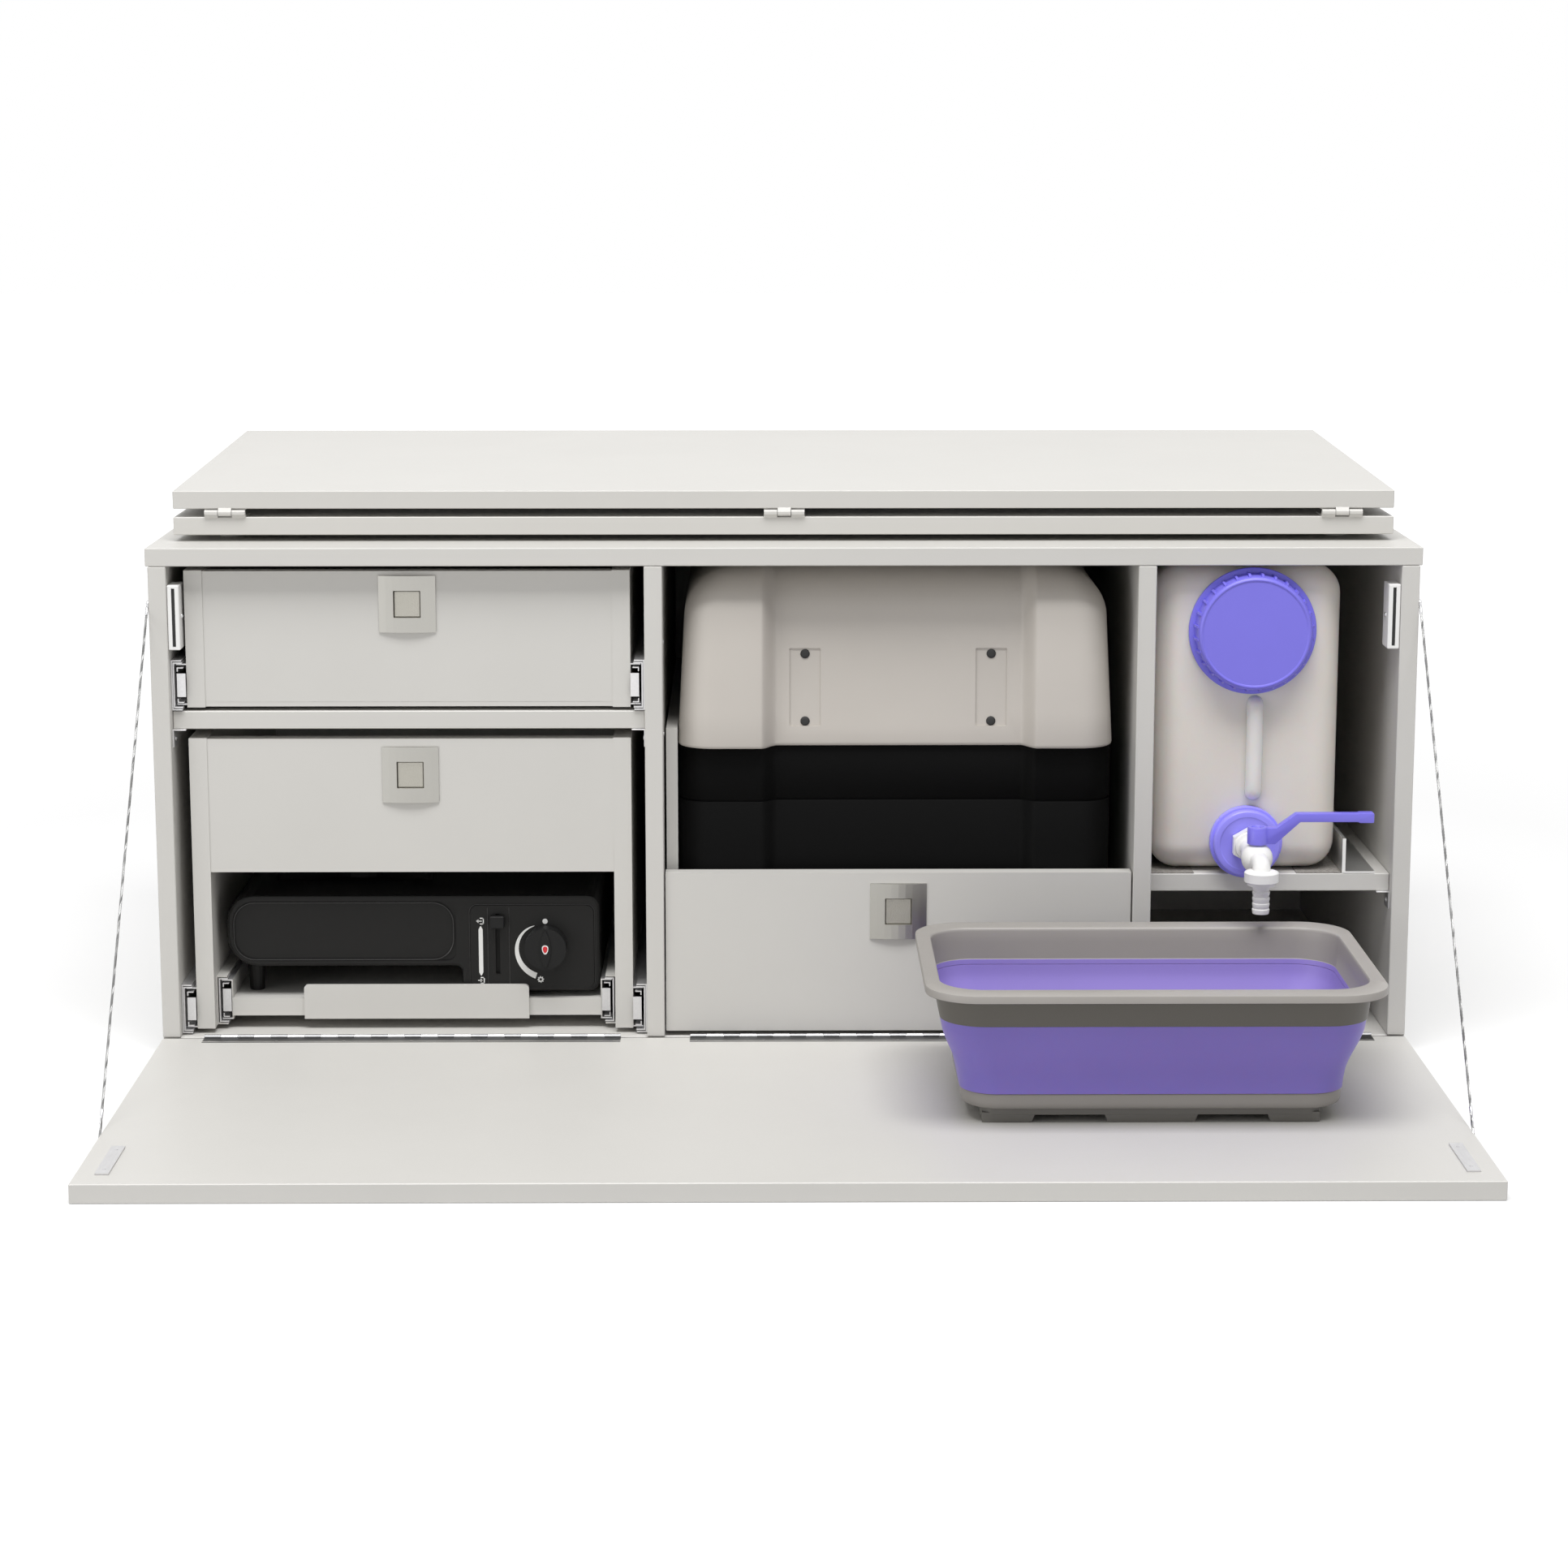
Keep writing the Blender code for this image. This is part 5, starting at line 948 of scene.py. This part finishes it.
def wire_hook(side, sign):
    _, foot, way = stay_line(sign)
    centre, across = foot - way * 0.0165, Vector((0, way.z, -way.y))
    loop = [centre + way * 0.0052 * math.cos(a) + across * 0.0032 * math.sin(a)
            for a in (2 * math.pi * i / 20 for i in range(21))]
    hook = [centre + way * 0.0044, foot - way * 0.008, foot - way * 0.003, foot]
    parts = [ferrule(foot, way, -0.030), tube(loop, 0.0007, 8), tube(hook, 0.0009, 8)]
    piece(side + "_wire_hook", merged(*parts, stud(HOOK_STUD, sign, foot)), "steel", "flap")


def wire_anchor(side, sign):
    top, _, way = stay_line(sign)
    parts = [stud(ANCHOR_STUD, sign, top), ferrule(top, way, 0.003)]
    piece(side + "_wire_anchor", merged(*parts), "steel", "cabinet")


def catch_fittings(side, sign):
    """The strike plate's screws, sunk in it, and the magnet catch's screw and its magnet's slot."""
    strike, catch = side + "_strike_plate", side + "_magnet_catch"
    head_z = corner(strike, 1, 2) - 0.0011
    heads = [screw((middle(strike, 0), y), head_z, "z", 1, 0.0026)
             for y in (corner(strike, 0, 1) + 0.011, corner(strike, 1, 1) - 0.011)]
    piece(side + "_strike_screws", merged(*heads), "steel", "flap")
    front, z = corner(catch, 0, 1), middle(catch, 2)
    inner = corner(catch, 1 if sign < 0 else 0, 0)
    head = screw((front + 0.013, z), inner, "x", -sign, 0.0024)
    piece(side + "_catch_screw", head, "steel", "cabinet")
    x = inner + sign * 0.00525
    slot = rounded((x - 0.0013, x + 0.0013), (z - 0.0258, z + 0.0258), 0.0006, 2)
    piece(side + "_catch_magnet", plate(slot, "y", front + 0.0012, front + 0.0032), "rubber", "cabinet")


def fittings():
    for side, sign in SIDES:
        wire_hook(side, sign)
        wire_anchor(side, sign)
        catch_fittings(side, sign)


MAT_X, MAT_Y, MAT_Z = (0.3285, 0.5005), (-0.2465, 0.200), (0.1630, 0.16375)
# the cut-out that leaves the tap's collar free
MAT_CUT_X, MAT_CUT_REAR = (0.368, 0.460), -0.128
# wall face, way off the wall and height of the shelves' angle brackets
BRACKETS = ((0.5440, -1, 0.147), (-0.5440, 1, 0.296), (-0.1240, -1, 0.296))
BRACKET_Y, BRACKET_T, BRACKET_W, BRACKET_H = (-0.250, -0.230), 0.0011, 0.0120, 0.0160
PIN_Y, PINS_Z = -0.236, (0.070, 0.2893, 0.372)
HINGE_AXIS_Z = 0.0165


def can_mat():
    (left, right), (front, rear) = MAT_X, MAT_Y
    cut_left, cut_right = MAT_CUT_X
    outline = [(left, front), (cut_left, front), (cut_left, MAT_CUT_REAR), (cut_right, MAT_CUT_REAR),
               (cut_right, front), (right, front), (right, rear), (left, rear)]
    piece("can_mat", plate(outline, "z", *MAT_Z), "mat", "cabinet")


def shelf_brackets():
    angles = []
    for x, way, z in BRACKETS:
        face = x + way * BRACKET_T
        outline = [(x, z - BRACKET_H), (face, z - BRACKET_H), (face, z - BRACKET_T),
                   (x + way * BRACKET_W, z - BRACKET_T), (x + way * BRACKET_W, z), (x, z)]
        angles.append(plate(outline, "y", *BRACKET_Y))
        angles.append(screw((sum(BRACKET_Y) / 2, z - 0.0095), face, "x", way, 0.0022))
    piece("shelf_brackets", merged(*angles), "zinc", "cabinet", bevel=0.0002)


def pins():
    """The pins through the partitions, and the two piano hinges' pins."""
    heads = []
    for node in ("left_partition", "right_partition"):
        face = corner(node, 1, 0)
        profile = [(0.0019, face), (0.0019, face + 0.0003), (0.0012, face + 0.0006)]
        heads += [turned(profile, "x", (PIN_Y, z), 16) for z in PINS_Z]
    piece("panel_pins", merged(*heads), "zinc", "cabinet")
    for side, _ in SIDES:
        leaf = side + "_base_hinge_leaf"
        ends = (corner(leaf, 0, 0) + MM, corner(leaf, 1, 0) - MM)
        pin = tube([(x, FRONT, HINGE_AXIS_Z) for x in ends], 0.0012, 10)
        piece(side + "_hinge_pin", pin, "steel", "cabinet")


TAB = (0.0034, 0.0110)
TAB_HALF, TAB_T, TAB_RECESS = 0.0105, 0.0010, 0.0004
LIP_UP, LIP_T, LIP_SHY, LIP_HOOK = 0.0150, 0.0009, 0.0020, 0.0028
LIP_Y = (0.0008, 0.030)


def slide_ends():
    """The bent front tab and the curled lips of every slide's inner member."""
    for body, solid, slides in RUNNERS:
        parts = []
        for node, way in zip(slides, (1, -1)):
            web = corner(node, 0 if way > 0 else 1, 0)
            z, front = middle(node, 2), corner(node, 0, 1)
            near, far = web + way * TAB[0], web + way * TAB[1]
            tab = box_outline((near, far), (z - TAB_HALF, z + TAB_HALF))
            parts.append(plate(tab, "y", front + TAB_RECESS, front + TAB_RECESS + TAB_T))
            for up in (1, -1):
                lip = z + up * LIP_UP
                for outline in (
                    box_outline((near, far - way * LIP_SHY), (lip, lip + up * LIP_T)),
                    box_outline((near, near + way * LIP_T), (lip - up * LIP_HOOK, lip)),
                ):
                    parts.append(plate(outline, "y", front + LIP_Y[0], front + LIP_Y[1]))
        piece(solid + "_slide_ends", merged(*parts), "zinc", body)


# (half width, distance ahead of the button's face) of the frame round a lock's button
BEZEL = ((0.01215, 0.0018), (0.01205, 0.0021), (0.01175, 0.0004), (0.01175, 0.0002), (0.01215, 0.0008))


def lock_bezels():
    """The sloped frame between each lock's plate and its button."""
    for body, prefix in (("upper_drawer", "upper"), ("cooker_box", "cooker"), ("cool_box_pullout", "fridge")):
        button = prefix + "_lock_button"
        x, z, face = middle(button, 0), middle(button, 2), corner(button, 0, 1)
        rings = []
        for half, ahead in BEZEL:
            outline = rounded((x - half, x + half), (z - half, z + half), 0.0008, 2)
            rings.append([(u, face - ahead, v) for u, v in outline])
        piece(prefix + "_lock_bezel", loft(rings, ring_closed=True), "nickel", body,
              sharp=math.radians(20))


# front edges of the flap leaf's painted strips: a painted dark reflection on its face, a painted highlight
# along its rim and a painted shadow line ahead of it
STRIPS = ((-0.2735, -0.2628), (-0.2760, -0.2735), (-0.2775, -0.2760))
STRIP_SCREW_Y, STRIP_SCREW_END, STRIP_SCREW_PITCH = -0.2745, 0.006, 0.061


def hinge_strips():
    """The flap leaf's strips of painted reflection, highlight and shadow, and its screw heads, which lie on
    the flap's inner face.
    """
    low, high = FLAP_TOP - 0.0001, FLAP_TOP + 0.0003
    head = [(0.0022, low), (0.0022, high), (0.0016, high + 0.0001)]
    for side, _ in SIDES:
        x = (corner(side + "_base_hinge_leaf", 0, 0), corner(side + "_base_hinge_leaf", 1, 0))
        parts = [plate(box_outline(x, y), "z", low, high) for y in STRIPS]
        first, span = x[0] + STRIP_SCREW_END, x[1] - x[0] - 2 * STRIP_SCREW_END
        count = round((x[1] - x[0]) / STRIP_SCREW_PITCH)
        for i in range(count + 1):
            parts.append(turned(head, "z", (first + span * i / count, STRIP_SCREW_Y), 16))
        strip = piece(side + "_hinge_painted_light_strip", merged(*parts), "hinge_dark_painted_reflection_and_shade", "flap")
        # painted highlight: the rim strip gets a brighter metal than the leaf's face
        second(strip, "aluminium", lambda face: -0.2759 < face.center.y < -0.2736)


# Camera, fitted to the photograph, and studio

LENS, SENSOR, FAR = 80.23, 36, 60
EYE = (-0.0241, -3.3147, 0.8259)
PITCH = 0.187
YAW = -0.0077
WORLD_LIGHT = 0.38
FLOOR_HALF, FLOOR_GAP, FLOOR_GREY = 14, 0.2 * MM, 0.62
FLOOR_LIFT = (0.34, 0.85)
FLOOR_LIFT_SPAN = (1.2, 4.5)
WHITE = (1, 1, 1, 1)


def camera():
    data = bpy.data.cameras.new("camera")
    data.lens = LENS
    data.sensor_width = SENSOR
    data.clip_end = FAR
    obj = new_object("camera", data)
    obj.location = EYE
    obj.rotation_euler = (math.pi / 2 - PITCH, 0, YAW)
    bpy.context.scene.camera = obj


def area_light(name, spot, aim, size, watts):
    data = bpy.data.lights.new(name, "AREA")
    data.shape = "RECTANGLE"
    data.size, data.size_y = size
    data.energy = watts
    obj = new_object(name, data)
    obj.location = spot
    obj.rotation_mode = "QUATERNION"
    obj.rotation_quaternion = (Vector(aim) - Vector(spot)).to_track_quat("-Z", "Y")


def emptied(owner):
    """The node tree of a world or material, without its first nodes."""
    owner.use_nodes = True
    owner.node_tree.nodes.clear()
    return owner.node_tree


def seen_directly(tree):
    """1 for camera, mirror and clear rays, which see the background as white, and 0 for the others."""
    path = new_node(tree, "LightPath")
    total = path.outputs["Is Camera Ray"]
    for name in ("Is Glossy Ray", "Is Transmission Ray"):
        either = new_node(tree, "Math", total, path.outputs[name])
        either.operation = "MAXIMUM"
        total = either.outputs[0]
    return total


def surroundings():
    """A world that lights softly and looks white."""
    world = bpy.data.worlds.new("studio")
    bpy.context.scene.world = world
    tree = emptied(world)
    lit = new_node(tree, "Background", Color=WHITE, Strength=WORLD_LIGHT)
    white = new_node(tree, "Background", Color=WHITE, Strength=1.0)
    mix = new_node(tree, "MixShader", seen_directly(tree), lit.outputs[0], white.outputs[0])
    new_node(tree, "OutputWorld", mix.outputs[0])


def floor_material():
    """A matte floor that looks white, less so close to the cabinet, where its shadow shows."""
    made = bpy.data.materials.new("studio_floor")
    tree = emptied(made)
    coords = new_node(tree, "TexCoord")
    away = new_node(tree, "VectorMath", coords.outputs["Object"])
    away.operation = "LENGTH"
    rise = new_node(tree, "MapRange", away.outputs["Value"])
    for name, value in zip(("From Min", "From Max", "To Min", "To Max"), (*FLOOR_LIFT_SPAN, *FLOOR_LIFT)):
        rise.inputs[name].default_value = value
    lift = new_node(tree, "Math", seen_directly(tree), rise.outputs["Result"])
    lift.operation = "MULTIPLY"
    glow = new_node(tree, "Emission", Color=WHITE)
    tree.links.new(lift.outputs[0], glow.inputs["Strength"])
    matte = new_node(tree, "BsdfDiffuse", Color=(FLOOR_GREY, FLOOR_GREY, FLOOR_GREY, 1))
    add = new_node(tree, "AddShader", glow.outputs[0], matte.outputs[0])
    new_node(tree, "OutputMaterial", add.outputs[0])
    return made


def stage():
    """World, floor, key light above the front and fill light at the left."""
    surroundings()
    shape = bmesh.new()
    bmesh.ops.create_grid(shape, x_segments=1, y_segments=1, size=FLOOR_HALF)
    mesh = bpy.data.meshes.new("floor")
    shape.to_mesh(mesh)
    shape.free()
    floor = new_object("floor", mesh)
    floor.location.z = corner("base_panel", 0, 2) - FLOOR_GAP
    mesh.materials.append(floor_material())
    area_light("key", (-0.1, -2.8, 6.5), (0, -0.35, 0.2), (5.6, 2.6), 472)
    area_light("fill", (-3.0, -2.4, 0.8), (0.25, -0.2, 0.2), (1.6, 1.2), 16)


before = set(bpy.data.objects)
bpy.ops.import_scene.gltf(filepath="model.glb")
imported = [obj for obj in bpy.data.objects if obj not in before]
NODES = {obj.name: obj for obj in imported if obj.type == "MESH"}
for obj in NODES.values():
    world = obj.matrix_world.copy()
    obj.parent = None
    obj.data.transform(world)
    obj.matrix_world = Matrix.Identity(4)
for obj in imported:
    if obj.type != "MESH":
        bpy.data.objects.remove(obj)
bpy.context.scene.view_settings.view_transform = "Standard"
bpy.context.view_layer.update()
camera()
stage()
LOOKS = {name: material(name, *values, **others) for name, (*values, others) in LOOK_TABLE.items()}
dress_solids()
basin_wall()
basin_rim()
basin_base()
can()
cap()
collar()
tap()
lever()
cool_box_body()
cool_box_shell()
cooker_marks()
stay_wires()
fittings()
can_mat()
shelf_brackets()
pins()
slide_ends()
lock_bezels()
hinge_strips()
